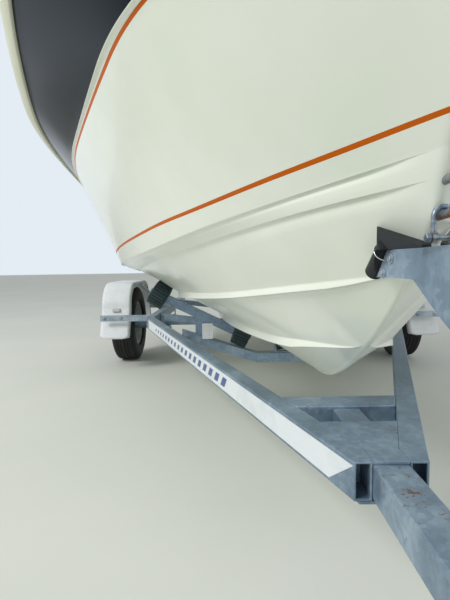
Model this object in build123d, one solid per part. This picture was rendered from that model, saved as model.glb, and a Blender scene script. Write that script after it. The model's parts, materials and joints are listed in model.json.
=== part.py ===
"""A speedboat with an outboard engine, on the single-axle roller trailer that carries it.

Lengths are millimetres and angles are degrees. +X points to the bow and the tow coupling, +Y to port
and +Z up. The drawing is made with x = 0 at the front of the trailer's nose and z = 0 on the ground. At
the end every piece is moved along X, so that the origin lies under the middle of the whole object.
"""

from build123d import *
import math
import os

# Hull
HULL_SKIN = 12
KEEL_HALF = 12
TRANSOM_RAKE = 12
TRANSOM_THICK = 40
BEAM = 2340
DRAWN_BEAM = 2340
DECK_THICK = 25
DECK_CROWN = 70
JOINT_GAP = 0.5
RUB_RAIL_PROUD = 26
RUB_RAIL_HEIGHT = 44
HALF_BEAM = BEAM / 2
AFT = Vector(-math.cos(math.radians(TRANSOM_RAKE)), 0, -math.sin(math.radians(TRANSOM_RAKE)))

# The lines of one side of the hull, as (x, y, z). Columns are the stations: transom, aft, mid, waist,
# shoulder, fore shoulder, fore, entry, forefoot and stem. The transom's x comes from its rake.
HULL_LINES = {
    "keel": ((-4500, KEEL_HALF, 430), (-3750, KEEL_HALF, 421), (-2600, KEEL_HALF, 415),
             (-2000, KEEL_HALF, 418),
             (-1400, KEEL_HALF, 424), (-1000, KEEL_HALF, 430), (-620, KEEL_HALF, 452),
             (-300, KEEL_HALF, 541),
             (-20, KEEL_HALF, 706), (130, KEEL_HALF, 855)),
    "inner_strake": ((-4500, 370, 560), (-3750, 375, 554), (-2600, 370, 548), (-2000, 358, 550),
                     (-1400, 325, 558), (-1000, 265, 567), (-620, 190, 579), (-300, 120, 615),
                     (-20, 50, 748), (140, 13, 868)),
    "outer_strake": ((-4500, 700, 665), (-3750, 710, 659), (-2600, 680, 655), (-2000, 632, 659),
                     (-1400, 545, 668), (-1000, 450, 683), (-620, 352, 704), (-300, 215, 732),
                     (-20, 105, 805), (149, 13, 881)),
    "inner_chine": ((-4500, 970, 745), (-3750, 985, 740), (-2600, 955, 745), (-2000, 857, 758),
                    (-1400, 715, 776), (-1000, 607, 792), (-620, 475, 815), (-300, 325, 845),
                    (-30, 170, 873), (159, 13, 895)),
    "outer_chine": ((-4500, 1060, 778), (-3750, 1075, 776), (-2600, 1055, 782), (-2000, 956, 791),
                    (-1400, 800, 804), (-1000, 673, 815), (-620, 525, 836), (-300, 365, 866),
                    (-30, 192, 898), (185, 15, 930)),
    "knuckle": ((-4500, 1100, 1060), (-3750, 1130, 1075), (-2600, 1145, 1150), (-2000, 1102, 1183),
                (-1400, 995, 1205), (-1000, 877, 1216), (-700, 765, 1220), (-250, 565, 1220),
                (80, 370, 1220), (400, 19, 1225)),
    "sheer": ((-4500, 1110, 1170), (-3750, 1150, 1186), (-2600, 1170, 1225), (-2000, 1157, 1268),
              (-1400, 1105, 1320), (-1000, 1035, 1359), (-800, 985, 1385), (-300, 800, 1480),
              (200, 500, 1580), (695, 30, 1630)),
}
STATION_NAMES = ("transom", "aft", "mid", "waist", "shoulder", "fore shoulder", "fore", "entry", "forefoot",
                 "stem")
STATIONS = len(STATION_NAMES)
AFT_STATION = STATION_NAMES.index("aft")
SHOULDER_STATION = STATION_NAMES.index("shoulder")
# Depth of both spray strakes' outer faces at each station, and how far the lower edge leans out.
STRAKE_DEPTHS = (30, 30, 30, 30, 28, 24, 20, 12, 5, 2)
STRAKE_LEAN = 2
STEM_SLOPE = 1.372
STEM_FOOT_Z = 930
STEM_SLOT_HALF = 5
STEM_EDGE = ((-20, 706), (49, 757), (96, 803), (127, 834), (155, 863), (172, 895), (185, 930), (395, 1225),
             (675, 1597))

# Deck openings and the cockpit
COCKPIT_FRONT_X = -1480
COCKPIT_WIDE_X = -2250
COCKPIT_AFT_X = -3930
COCKPIT_FRONT_HALF = 620
COCKPIT_HALF = 850
LINER_THICK = 20
SOLE_Z = 800
WELL_FRONT_X = -4000
WELL_HALF = 400
WELL_FLOOR_Z = 920
ENGINE_SILL_Z = 945

# Foredeck hatch, helm and windscreen
HATCH_X0 = -270
HATCH_X1 = 170
HATCH_HALF = 200
HATCH_COAMING = 8
HATCH_THICK = 14
HATCH_RIM = -8
HATCH_LAP = -35
HATCH_AXIS_BACK = 8
HELM_Y = -380
WHEEL_TILT = 25
STEERING_X = -1800
STEERING_Z = 1290
PANE_INSET = 12.6

# Trailer
CHASSIS_TOP = 440
TUBE_HEIGHT = 72.5
TUBE_WIDTH = 50
NOSE_HALF = 66
CORNER_X = -2180
FRAME_HALF = 843
RAIL_END_X = -4250
DRAWBAR_HALF = 32.5
DRAWBAR_FRONT_X = 1100
NOSE_PLATE_THICK = 6
NOSE_PLATE_LENGTH = 200
MOUTH_DEPTH = 60
MOUTH_WALL = 5
CROSS_FRONT_X = -305
CROSS_DEPTH = 81
V_BEAM_HEIGHT = 46
V_BEAM_DEPTH = 60
V_BEAM_FLAT_TOP = 354
V_BEAM_FLAT_HALF = 153
V_BEAM_FRONT_X = -1400
V_BEAM_MID_X = -2480
V_BEAM_REAR_X = -3750
FRONT_RISE = 0.317
REAR_RISE = 0.12
COUPLING_X = 1250
SOCKET_RADIUS = 25.2

# Rollers
ROLLER_RADIUS = 62
ROLLER_WIDTH = 80
ROLLER_BORE = 10.4
ROLLER_PIN = 10
ROLLER_GAP = 0.6
CRADLE_TUBE = 40
KEEL_ROLLER_RADIUS = 28
KEEL_ROLLER_WIDTH = 110
# Columns: the cradles' station, x, rise of their beam, contact y of the inner and of the outer roller.
CRADLES = (
    (SHOULDER_STATION, V_BEAM_FRONT_X, FRONT_RISE, 200, 590),
    (AFT_STATION, V_BEAM_REAR_X, REAR_RISE, 240, 500),
)

# Guards
GUARD_OUTER = 1250
GUARD_WIDTH = 218
GUARD_INNER = GUARD_OUTER - GUARD_WIDTH
GUARD_HALF_LENGTH = 502
GUARD_HEIGHT = 656
GUARD_BOTTOM = 250
GUARD_THICK = 5
BRACKET_THICK = 5
BRACKET_HEIGHT = 45

# Wheels and axle
WHEEL_X = -2950
WHEEL_Y = GUARD_OUTER - 115
TYRE_RADIUS = 305
TYRE_WIDTH = 185
RIM_RADIUS = 165
RIM_WIDTH = 140
STUDS = 5
AXLE_TUBE = 45
AXLE_HALF = WHEEL_Y - 175
STUB_RADIUS = 17
HUB_FACE_Y = WHEEL_Y - 25
SPRING_WIDTH = 45
SPRING_LENGTH = 720
SPRING_SAG = 44
LEAF_THICK = 7
LEAVES = 3

# Winch post and winch
POST_HALF = 40
POST_THICK = 5
# The post's arms beside the stem: slope outwards, where they bend from the cheeks, and their side outline.
ARM_FLARE = 0.14
ARM_BEND_X = 190
ARM_LOW_Z = 766
ARM_TOP_Z = 806
ARM_SIDE = [(75, ARM_LOW_Z), (106, ARM_TOP_Z), (215, ARM_TOP_Z), (205, ARM_LOW_Z)]
WINCH_X = 500
WINCH_Z = 852
DRUM_RADIUS = 24
CRANK_LENGTH = 185
CRANK_Y = -128

# Jockey wheel
JOCKEY_X = 880
JOCKEY_Y = 92
JOCKEY_WHEEL_RADIUS = 100
JOCKEY_WHEEL_WIDTH = 50
JOCKEY_TRAIL = 45

# Outboard engine
TILT_X = -4672
TILT_Z = 985
STEER_BEHIND_TILT = 95
REST_TILT = 35
PROP_RADIUS = 165
PROP_Z_BELOW_TILT = 745
STEER_X = TILT_X - STEER_BEHIND_TILT
SWIVEL_HALF = 52
LEG_BEHIND_STEER = 72

MOVING_GAP = 5


def prism(points, amount, direction):
    """A closed outline of 3-D points, extruded by an amount along a direction."""
    return extrude(make_face(Polyline(*points, close=True)), amount=amount, dir=direction)


def xz_prism(points, y0, y1):
    return prism([(x, y0, z) for x, z in points], y1 - y0, (0, 1, 0))


def yz_prism(points, x0, x1):
    return prism([(x0, y, z) for y, z in points], x1 - x0, (1, 0, 0))


def xy_prism(points, z0, z1):
    return prism([(x, y, z0) for x, y in points], z1 - z0, (0, 0, 1))


def block(x0, x1, y0, y1, z0, z1):
    return Pos((x0 + x1) / 2, (y0 + y1) / 2, (z0 + z1) / 2) * Box(x1 - x0, y1 - y0, z1 - z0)


def rod(start, end, radius):
    """A round bar from one point to another."""
    start, end = Vector(start), Vector(end)
    length = (end - start).length
    return Plane(start, z_dir=end - start) * Cylinder(radius, length,
                                                      align=(Align.CENTER, Align.CENTER, Align.MIN))


def chain(points, radius):
    """Round bars joined end to end, with a ball at each corner."""
    bars = [rod(a, b, radius) for a, b in zip(points, points[1:])]
    balls = [Pos(*p) * Sphere(radius) for p in points[1:-1]]
    result = bars[0]
    for piece in bars[1:] + balls:
        result += piece
    return result


def turned(profile, axis_origin, axis_direction):
    """A profile of (radius, along) points turned about an axis."""
    plane = Plane(Vector(axis_origin), z_dir=Vector(axis_direction))
    face = make_face(Polyline(*[(r, 0, a) for r, a in profile], close=True))
    return plane * revolve(face, Axis.Z)


def starboard_of(shape):
    """The mirror image across the centre plane."""
    return mirror(shape, about=Plane.XZ)


def hull_point(line, station, side=1):
    """A point of the hull's outside: its y grows with the beam and the transom's x follows its rake."""
    x, y, z = HULL_LINES[line][station]
    if station == 0:
        keel_z = HULL_LINES["keel"][0][2]
        x -= (z - keel_z) * math.tan(math.radians(TRANSOM_RAKE))
    if station == STATIONS - 1:
        x = stem_x(z)
    if line != "keel":
        y *= BEAM / DRAWN_BEAM
    return (x, side * y, z)


def station_x(station, z, x):
    """The x of a station's point: the end stations lie in raked planes, the others as they are drawn."""
    if station == 0:
        return transom_x(z)
    return stem_x(z) if station == STATIONS - 1 else x


def stem_x(z):
    """The x of the raked plane that ends the hull's shell at the stem."""
    return HULL_LINES["outer_chine"][-1][0] + (z - STEM_FOOT_Z) / STEM_SLOPE


def strake(line, station, before):
    """A spray strake's start on the panel below, its outer lower edge, and its top at the next panel."""
    x, y, z = hull_point(line, station)
    bx, by, bz = before
    depth = min(STRAKE_DEPTHS[station], 0.6 * (z - bz))
    low = z - depth
    share = (low - bz) / (z - bz)
    lean = STRAKE_LEAN * depth / STRAKE_DEPTHS[0]
    start = (station_x(station, low, bx + share * (x - bx)), by + share * (y - by), low)
    return [start, (station_x(station, low, x), y + lean, low), (x, y, z)]


def outer_side(station):
    """The outside of one side of the hull, keel to sheer."""
    points = [hull_point("keel", station)]
    points += strake("inner_strake", station, points[-1])
    points += strake("outer_strake", station, points[-1])
    points += [hull_point(n, station) for n in ("inner_chine", "outer_chine", "knuckle", "sheer")]
    return points


def inner_side(station):
    """The inside of one side of the hull, sheer to keel, one skin in from the outside."""
    points = []
    for line, lift in (("sheer", 0), ("knuckle", 0), ("inner_chine", 1.1), ("outer_strake", 1.2),
                       ("keel", 1.6)):
        x, y, z = hull_point(line, station)
        inset = HULL_SKIN if line in ("sheer", "knuckle", "inner_chine") else 0
        y_in = STEM_SLOT_HALF if station == STATIONS - 1 else max(y - inset, KEEL_HALF)
        inner_z = z + lift * HULL_SKIN
        points.append((station_x(station, inner_z, x), y_in, inner_z))
    return points


def across(points):
    """The same points on the other side, in reverse order."""
    return [(x, -y, z) for x, y, z in reversed(points)]


def hull_shell():
    """Bottom and topsides as one moulding of even thickness, open at the top and at the transom."""
    wires = []
    for s in range(STATIONS):
        outer, inner = outer_side(s), inner_side(s)
        wires.append(Wire.make_polygon(across(outer) + outer + inner + across(inner)))
    back = [(stem_x(z) - 40, z) for z in (STEM_EDGE[-1][1], 900)] + [(60, 800), (-60, 690)]
    return Solid.make_loft(wires, True) + xz_prism(list(STEM_EDGE) + back, -KEEL_HALF, KEEL_HALF)


def transom_x(z):
    """The x of the transom's front plane at a height."""
    x, _, keel_z = HULL_LINES["keel"][0]
    return x - (z - keel_z) * math.tan(math.radians(TRANSOM_RAKE))


def transom():
    outline = [hull_point("keel", 0)] + outer_side(0)[1:]
    plate = prism(across(outline) + outline, TRANSOM_THICK, AFT)
    top = HULL_LINES["sheer"][0][2] + 50
    notch = block(transom_x(top) - 200, transom_x(ENGINE_SILL_Z) + 200, -WELL_HALF, WELL_HALF,
                  ENGINE_SILL_Z, top)
    return plate - notch


def sheer_at(x):
    """Half breadth and height of the sheer at a place along the boat, straight between stations."""
    rows = [hull_point("sheer", s) for s in range(STATIONS)]
    for (xa, ya, za), (xb, yb, zb) in zip(rows, rows[1:]):
        if x <= xb or (xb, yb, zb) == rows[-1]:
            t = (x - xa) / (xb - xa)
            return ya + t * (yb - ya), za + t * (zb - za)


def deck_section(station):
    """The deck's closed outline at a station: flat below and crowned above."""
    x, y, z = hull_point("sheer", station)
    low, high = z + JOINT_GAP, z + JOINT_GAP + DECK_THICK
    crown = DECK_CROWN * y / HALF_BEAM
    half = [(x, y, low), (x, y, high), (x, 0.55 * y, high + 0.7 * crown), (x, 0.15 * y, high + crown)]
    return Wire.make_polygon(half + across(half))


def cockpit_outline(grow):
    """Plan of the cockpit, grown outwards by a distance."""
    half = [(COCKPIT_AFT_X - grow, COCKPIT_HALF + grow), (COCKPIT_WIDE_X, COCKPIT_HALF + grow),
            (COCKPIT_FRONT_X + grow, COCKPIT_FRONT_HALF + grow)]
    return half + [(x, -y) for x, y in reversed(half)]


def deck():
    solid = Solid.make_loft([deck_section(s) for s in range(STATIONS)], True)
    low, high = HULL_LINES["sheer"][0][2] - 200, HULL_LINES["sheer"][-1][2] + 200
    solid -= xy_prism(cockpit_outline(0), low, high)
    solid -= block(transom_x(low) - 400, WELL_FRONT_X, -WELL_HALF, WELL_HALF, low, high)
    solid += hatch_plate(HATCH_RIM, -20, HATCH_COAMING)
    return solid - hatch_plate(HATCH_LAP, -200, 200)


def deck_crown_at(x):
    """Height of the deck's top on the centre line."""
    y, z = sheer_at(x)
    return z + JOINT_GAP + DECK_THICK + DECK_CROWN * y / HALF_BEAM


def hatch_plate(grow, low, high):
    """A flat plate parallel to the foredeck at the hatch, grown in plan, between two heights over it."""
    x0, x1 = HATCH_X0 - grow, HATCH_X1 + grow
    za = deck_crown_at(HATCH_X0)
    zb = deck_crown_at(HATCH_X1)
    slope = (zb - za) / (HATCH_X1 - HATCH_X0)

    def z(x):
        return za + (x - HATCH_X0) * slope

    outline = [(x0, z(x0) + low), (x1, z(x1) + low), (x1, z(x1) + high), (x0, z(x0) + high)]
    return xz_prism(outline, -HATCH_HALF - grow, HATCH_HALF + grow)


def cockpit_liner():
    """The cockpit's tub: a sole and four walls up to the underside of the deck."""
    top_front = sheer_at(COCKPIT_FRONT_X + LINER_THICK)[1] + 5
    tub = xy_prism(cockpit_outline(LINER_THICK), SOLE_Z - LINER_THICK, top_front)
    tub -= xy_prism(cockpit_outline(0), SOLE_Z, top_front)
    between = [row for row in HULL_LINES["sheer"] if COCKPIT_AFT_X < row[0] < COCKPIT_FRONT_X]
    span = [(COCKPIT_AFT_X - 100, sheer_at(COCKPIT_AFT_X - 100)[1])]
    span += [(x, z) for x, _, z in between]
    span += [(COCKPIT_FRONT_X + 100, sheer_at(COCKPIT_FRONT_X + 100)[1]),
             (COCKPIT_FRONT_X + 100, top_front + 200),
             (COCKPIT_AFT_X - 100, top_front + 200)]
    return tub - xz_prism(span, -COCKPIT_HALF - 100, COCKPIT_HALF + 100)


def motor_well():
    """The splash well ahead of the transom, a floor and three walls."""
    top = HULL_LINES["sheer"][0][2]
    outer = [(WELL_FRONT_X + LINER_THICK, WELL_FLOOR_Z - LINER_THICK),
             (WELL_FRONT_X + LINER_THICK, sheer_at(WELL_FRONT_X)[1]), (transom_x(top), top),
             (transom_x(WELL_FLOOR_Z - LINER_THICK), WELL_FLOOR_Z - LINER_THICK)]
    inner = [(WELL_FRONT_X, WELL_FLOOR_Z), (WELL_FRONT_X, top + 50), (transom_x(top + 50) - 10, top + 50),
             (transom_x(WELL_FLOOR_Z) - 10, WELL_FLOOR_Z)]
    return (xz_prism(outer, -WELL_HALF - LINER_THICK, WELL_HALF + LINER_THICK)
            - xz_prism(inner, -WELL_HALF, WELL_HALF))


def plan_normals():
    """The outward direction in plan at each station of the sheer."""
    rows = [hull_point("sheer", s) for s in range(STATIONS)]
    normals = []
    for i in range(STATIONS):
        a, b = rows[max(i - 1, 0)], rows[min(i + 1, STATIONS - 1)]
        dx, dy = b[0] - a[0], b[1] - a[1]
        size = math.hypot(dx, dy)
        normals.append((-dy / size, dx / size))
    return normals


def rub_rail():
    """The rail along the joint of hull and deck: each side lofted from small sections, with a bow cap."""
    wires = []
    for s, (nx, ny) in enumerate(plan_normals()):
        x, y, z = hull_point("sheer", s)
        near, far = JOINT_GAP, RUB_RAIL_PROUD
        low, high = z - RUB_RAIL_HEIGHT / 2, z + RUB_RAIL_HEIGHT / 2
        corner = RUB_RAIL_HEIGHT * 0.18
        section = [(near, low), (far, low + corner), (far, high - corner), (near, high)]
        wires.append(Wire.make_polygon([(x + d * nx, y + d * ny, h) for d, h in section]))
    side = Solid.make_loft(wires, True)
    x, y, z = hull_point("sheer", STATIONS - 1)
    nx, ny = plan_normals()[-1]
    cap = block(x + JOINT_GAP, x + RUB_RAIL_PROUD * nx, -y - JOINT_GAP * ny, y + JOINT_GAP * ny,
                z - RUB_RAIL_HEIGHT / 2, z + RUB_RAIL_HEIGHT / 2)
    return [side, starboard_of(side), cap]


def frame_inner_y(x):
    """Inner face of the chassis side at a place along it."""
    slope = (FRAME_HALF - NOSE_HALF) / -CORNER_X
    lean = math.hypot(1, slope)
    return min(NOSE_HALF - TUBE_WIDTH * lean - x * slope, FRAME_HALF - TUBE_WIDTH)


def frame_x_at(y):
    """Where the sloping arm's inner face has a given half breadth."""
    slope = (FRAME_HALF - NOSE_HALF) / -CORNER_X
    lean = math.hypot(1, slope)
    return -(y - NOSE_HALF + TUBE_WIDTH * lean) / slope


def frame_side():
    """One side of the chassis: the arm from the nose to the corner, the rail behind it and its open mouth."""
    low = CHASSIS_TOP - TUBE_HEIGHT
    inner_y = FRAME_HALF - TUBE_WIDTH
    outline = [(0, NOSE_HALF), (CORNER_X, FRAME_HALF), (RAIL_END_X, FRAME_HALF), (RAIL_END_X, inner_y),
               (frame_x_at(inner_y), inner_y), (frame_x_at(DRAWBAR_HALF), DRAWBAR_HALF), (0, DRAWBAR_HALF)]
    tube = xy_prism(outline, low, CHASSIS_TOP)
    slope = (FRAME_HALF - NOSE_HALF) / -CORNER_X
    near = DRAWBAR_HALF + MOUTH_WALL
    far = NOSE_HALF - MOUTH_WALL
    mouth = [(1, near), (1, far), (-MOUTH_DEPTH, far + slope * MOUTH_DEPTH), (-MOUTH_DEPTH, near)]
    tube -= xy_prism(mouth, low + MOUTH_WALL, CHASSIS_TOP - MOUTH_WALL)
    return tube


def inside_frame(low, high):
    """The space between the chassis sides, used to trim cross members to their faces."""
    inner_y = FRAME_HALF - TUBE_WIDTH
    half = [(RAIL_END_X, inner_y), (frame_x_at(inner_y), inner_y), (frame_x_at(1), 1)]
    return xy_prism(half + [(x, -y) for x, y in reversed(half)], low, high)


def drawbar():
    top = CHASSIS_TOP - NOSE_PLATE_THICK
    return block(CROSS_FRONT_X, DRAWBAR_FRONT_X, -DRAWBAR_HALF, DRAWBAR_HALF, top - 2 * DRAWBAR_HALF, top)


def nose_plates():
    """The plate that closes the top of the nose between the arms, and the one under it."""
    half = [(-NOSE_PLATE_LENGTH, frame_inner_y(-NOSE_PLATE_LENGTH)),
            (frame_x_at(DRAWBAR_HALF), DRAWBAR_HALF), (0, DRAWBAR_HALF)]
    top = xy_prism(half + [(x, -y) for x, y in reversed(half)], CHASSIS_TOP - NOSE_PLATE_THICK, CHASSIS_TOP)
    low = CHASSIS_TOP - TUBE_HEIGHT
    under_half = [(-NOSE_PLATE_LENGTH, frame_inner_y(-NOSE_PLATE_LENGTH) + TUBE_WIDTH / 2),
                  (0, NOSE_HALF - 10)]
    under = xy_prism(under_half + [(x, -y) for x, y in reversed(under_half)], low - NOSE_PLATE_THICK, low)
    return [top, under]


def front_cross_member():
    back = CROSS_FRONT_X - CROSS_DEPTH
    low = CHASSIS_TOP - TUBE_HEIGHT
    return block(back, CROSS_FRONT_X, -FRAME_HALF, FRAME_HALF, low, CHASSIS_TOP) & inside_frame(low,
                                                                                                CHASSIS_TOP)


def v_beam(x, end_rise):
    """A cross beam that dips under the keel, trimmed to the chassis sides."""
    end = FRAME_HALF
    flat_low = V_BEAM_FLAT_TOP - V_BEAM_HEIGHT
    half_top = [(V_BEAM_FLAT_HALF, V_BEAM_FLAT_TOP),
                (end, V_BEAM_FLAT_TOP + end_rise * (end - V_BEAM_FLAT_HALF))]
    half_low = [(end, flat_low + end_rise * (end - V_BEAM_FLAT_HALF)), (V_BEAM_FLAT_HALF, flat_low)]
    outline = half_top + half_low + [(-y, z) for y, z in reversed(half_low)] + [(-y, z) for y,
                                                                                z in reversed(half_top)]
    beam = yz_prism(outline, x - V_BEAM_DEPTH / 2, x + V_BEAM_DEPTH / 2)
    return beam & inside_frame(0, 2 * CHASSIS_TOP)


def v_beam_top(y, rise):
    return V_BEAM_FLAT_TOP + rise * max(abs(y) - V_BEAM_FLAT_HALF, 0)


def bottom_at(station, y):
    """Height and slope of the hull's bottom at a half breadth of a station."""
    points = [(p[1], p[2]) for p in outer_side(station)]
    for (ya, za), (yb, zb) in zip(points, points[1:]):
        if ya <= y <= yb and yb - ya > 1:
            slope = (zb - za) / (yb - ya)
            return za + slope * (y - ya), slope


def roller_place(station, y):
    """Centre of a roller under the hull at a half breadth, and its pin's direction, along the skin."""
    z, slope = bottom_at(station, y)
    lean = math.hypot(1, slope)
    reach = ROLLER_RADIUS + ROLLER_GAP
    return (y + reach * slope / lean, z - reach / lean), (1 / lean, slope / lean)


def wobble_roller(x, centre, along):
    """A ribbed rubber roller on the pin's axis."""
    half = ROLLER_WIDTH / 2
    ribs = 5
    pitch = ROLLER_WIDTH / ribs
    profile = [(ROLLER_BORE, -half), (ROLLER_BORE, half)]
    for i in range(ribs):
        a = half - i * pitch
        profile += [(ROLLER_RADIUS, a), (ROLLER_RADIUS, a - 0.6 * pitch),
                    (ROLLER_RADIUS - 5, a - 0.7 * pitch), (ROLLER_RADIUS - 5, a - 0.9 * pitch)]
    profile[-1] = (ROLLER_RADIUS - 5, -half)
    return turned(profile, (x, centre[0], centre[1]), (0, along[0], along[1]))


def cradle(station, x, rise, y_in, y_out):
    """One side's cradle: a sloping tube with a roller pin at each end, on a post from the cross beam."""
    inner, inner_dir = roller_place(station, y_in)
    outer, outer_dir = roller_place(station, y_out)
    shoulder = ROLLER_WIDTH / 2 + 4
    a = (inner[0] + shoulder * inner_dir[0], inner[1] + shoulder * inner_dir[1])
    b = (outer[0] - shoulder * outer_dir[0], outer[1] - shoulder * outer_dir[1])
    dy, dz = b[0] - a[0], b[1] - a[1]
    size = math.hypot(dy, dz)
    ny, nz = -dz / size * CRADLE_TUBE / 2, dy / size * CRADLE_TUBE / 2
    half = CRADLE_TUBE / 2
    tube = yz_prism([(a[0] + ny, a[1] + nz), (b[0] + ny, b[1] + nz), (b[0] - ny, b[1] - nz),
                     (a[0] - ny, a[1] - nz)],
                    x - half, x + half)
    reach = shoulder + ROLLER_WIDTH / 2 + 8
    for centre, along, sign in ((inner, inner_dir, 1), (outer, outer_dir, -1)):
        root = (x, centre[0] + sign * shoulder * along[0], centre[1] + sign * shoulder * along[1])
        tip = (x, root[1] - sign * reach * along[0], root[2] - sign * reach * along[1])
        base = (x, root[1] + sign * half * along[0], root[2] + sign * half * along[1])
        tube += rod(base, tip, ROLLER_PIN)
        washer_end = (x, root[1] - sign * 3 * along[0], root[2] - sign * 3 * along[1])
        tube += rod(base, washer_end, half)
    y_mid = (a[0] + b[0]) / 2
    y0, y1 = y_mid - 25, y_mid + 25

    def under(y):
        return a[1] - nz + (y - a[0] + ny) * dz / dy

    post = yz_prism([(y0, v_beam_top(y0, rise)), (y1, v_beam_top(y1, rise)), (y1, under(y1)),
                     (y0, under(y0))],
                    x - half, x + half)
    rollers = [wobble_roller(x, inner, inner_dir), wobble_roller(x, outer, outer_dir)]
    return tube + post, rollers


def keel_roller(x, station):
    """A small roller under the keel and the bracket that holds it on the cross beam."""
    keel_z = HULL_LINES["keel"][station][2]
    z = keel_z - KEEL_ROLLER_RADIUS - ROLLER_GAP
    half = KEEL_ROLLER_WIDTH / 2
    roller = turned([(8.4, -half), (KEEL_ROLLER_RADIUS + 4, -half), (KEEL_ROLLER_RADIUS, -half + 25),
                     (KEEL_ROLLER_RADIUS, half - 25), (KEEL_ROLLER_RADIUS + 4, half), (8.4, half)],
                    (x, 0, z), (0, 1, 0))
    ear = half + 4
    bracket = rod((x, -ear - 8, z), (x, ear + 8, z), 8)
    for side in (-1, 1):
        y0, y1 = sorted((side * ear, side * (ear + 6)))
        bracket += block(x - 22, x + 22, y0, y1, V_BEAM_FLAT_TOP, z + 18)
    bracket += block(x - 22, x + 22, -ear - 6, ear + 6, V_BEAM_FLAT_TOP, V_BEAM_FLAT_TOP + 5)
    return roller, bracket


def tyre():
    """A road tyre: tread, shoulders, rounded walls and beads on the rim."""
    h = TYRE_WIDTH / 2
    bead = RIM_RADIUS - 0.6
    seat_y = RIM_WIDTH / 2 - 12
    profile = [(bead, -seat_y), (bead + 15, -seat_y - 5), (bead + 32, -h + 6), (TYRE_RADIUS - 70, -h),
               (TYRE_RADIUS - 28, -h + 6), (TYRE_RADIUS - 5, -h + 22), (TYRE_RADIUS, -h + 45),
               (TYRE_RADIUS, h - 45),
               (TYRE_RADIUS - 5, h - 22), (TYRE_RADIUS - 28, h - 6), (TYRE_RADIUS - 70, h),
               (bead + 32, h - 6),
               (bead + 15, seat_y + 5), (bead, seat_y), (bead + 12, seat_y - 10), (TYRE_RADIUS - 16, h - 40),
               (TYRE_RADIUS - 16, -h + 40), (bead + 12, -seat_y + 10)]
    return turned(profile, (WHEEL_X, WHEEL_Y, TYRE_RADIUS), (0, 1, 0))


def rim():
    """A pressed steel rim: barrel with lips and a dished disc with hand holes and nut holes."""
    w = RIM_WIDTH / 2
    barrel = [(RIM_RADIUS + 14, -w), (RIM_RADIUS + 14, -w + 5), (RIM_RADIUS, -w + 10),
              (RIM_RADIUS - 20, -w + 40),
              (RIM_RADIUS - 20, w - 40), (RIM_RADIUS, w - 10), (RIM_RADIUS + 14, w - 5),
              (RIM_RADIUS + 14, w),
              (RIM_RADIUS - 4, w), (RIM_RADIUS - 25, w - 38), (RIM_RADIUS - 25, -w + 38),
              (RIM_RADIUS - 4, -w)]
    disc_face = HUB_FACE_Y - WHEEL_Y
    disc = [(28, disc_face), (75, disc_face), (100, disc_face + 30), (RIM_RADIUS - 25, disc_face + 25),
            (RIM_RADIUS - 25, disc_face + 31), (98, disc_face + 36), (72, disc_face + 5),
            (28, disc_face + 5)]
    centre = (WHEEL_X, WHEEL_Y, TYRE_RADIUS)
    wheel = turned(barrel, centre, (0, 1, 0)) + turned(disc, centre, (0, 1, 0))
    for i in range(8):
        angle = math.radians(45 * i)
        x = WHEEL_X + 116 * math.cos(angle)
        z = TYRE_RADIUS + 116 * math.sin(angle)
        wheel -= rod((x, HUB_FACE_Y - 5, z), (x, HUB_FACE_Y + 80, z), 14)
    for i in range(STUDS):
        x, z = stud_place(i)
        wheel -= rod((x, HUB_FACE_Y - 5, z), (x, HUB_FACE_Y + 20, z), 5.6)
    return wheel


def stud_place(i):
    """Where the i-th wheel stud stands, in side view."""
    angle = math.radians(360 / STUDS * i + 90)
    return WHEEL_X + 52 * math.cos(angle), TYRE_RADIUS + 52 * math.sin(angle)


def hub():
    """The wheel's hub on its stub axle, with its flange, studs with nuts and dust cap."""
    z = TYRE_RADIUS
    profile = [(STUB_RADIUS + 0.4, AXLE_HALF + 8), (45, AXLE_HALF + 8), (45, HUB_FACE_Y - 14),
               (70, HUB_FACE_Y - 12),
               (70, HUB_FACE_Y), (27.5, HUB_FACE_Y), (27.5, HUB_FACE_Y + 35), (20, HUB_FACE_Y + 42),
               (0, HUB_FACE_Y + 42),
               (0, HUB_FACE_Y + 6), (STUB_RADIUS + 0.4, HUB_FACE_Y + 6)]
    body = turned(profile, (WHEEL_X, 0, z), (0, 1, 0))
    for i in range(STUDS):
        x, nz = stud_place(i)
        nut = Plane((x, HUB_FACE_Y + 5.2, nz), z_dir=(0, 1, 0)) * extrude(RegularPolygon(10, 6), amount=14)
        body += nut + rod((x, HUB_FACE_Y - 2, nz), (x, HUB_FACE_Y + 6, nz), 5)
    return body


def axle():
    """The square axle with a round stub at each end."""
    half = AXLE_TUBE / 2
    bar = block(WHEEL_X - half, WHEEL_X + half, -AXLE_HALF, AXLE_HALF, TYRE_RADIUS - half, TYRE_RADIUS
                + half)
    return bar + rod((WHEEL_X, -HUB_FACE_Y, TYRE_RADIUS), (WHEEL_X, HUB_FACE_Y, TYRE_RADIUS), STUB_RADIUS)


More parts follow.
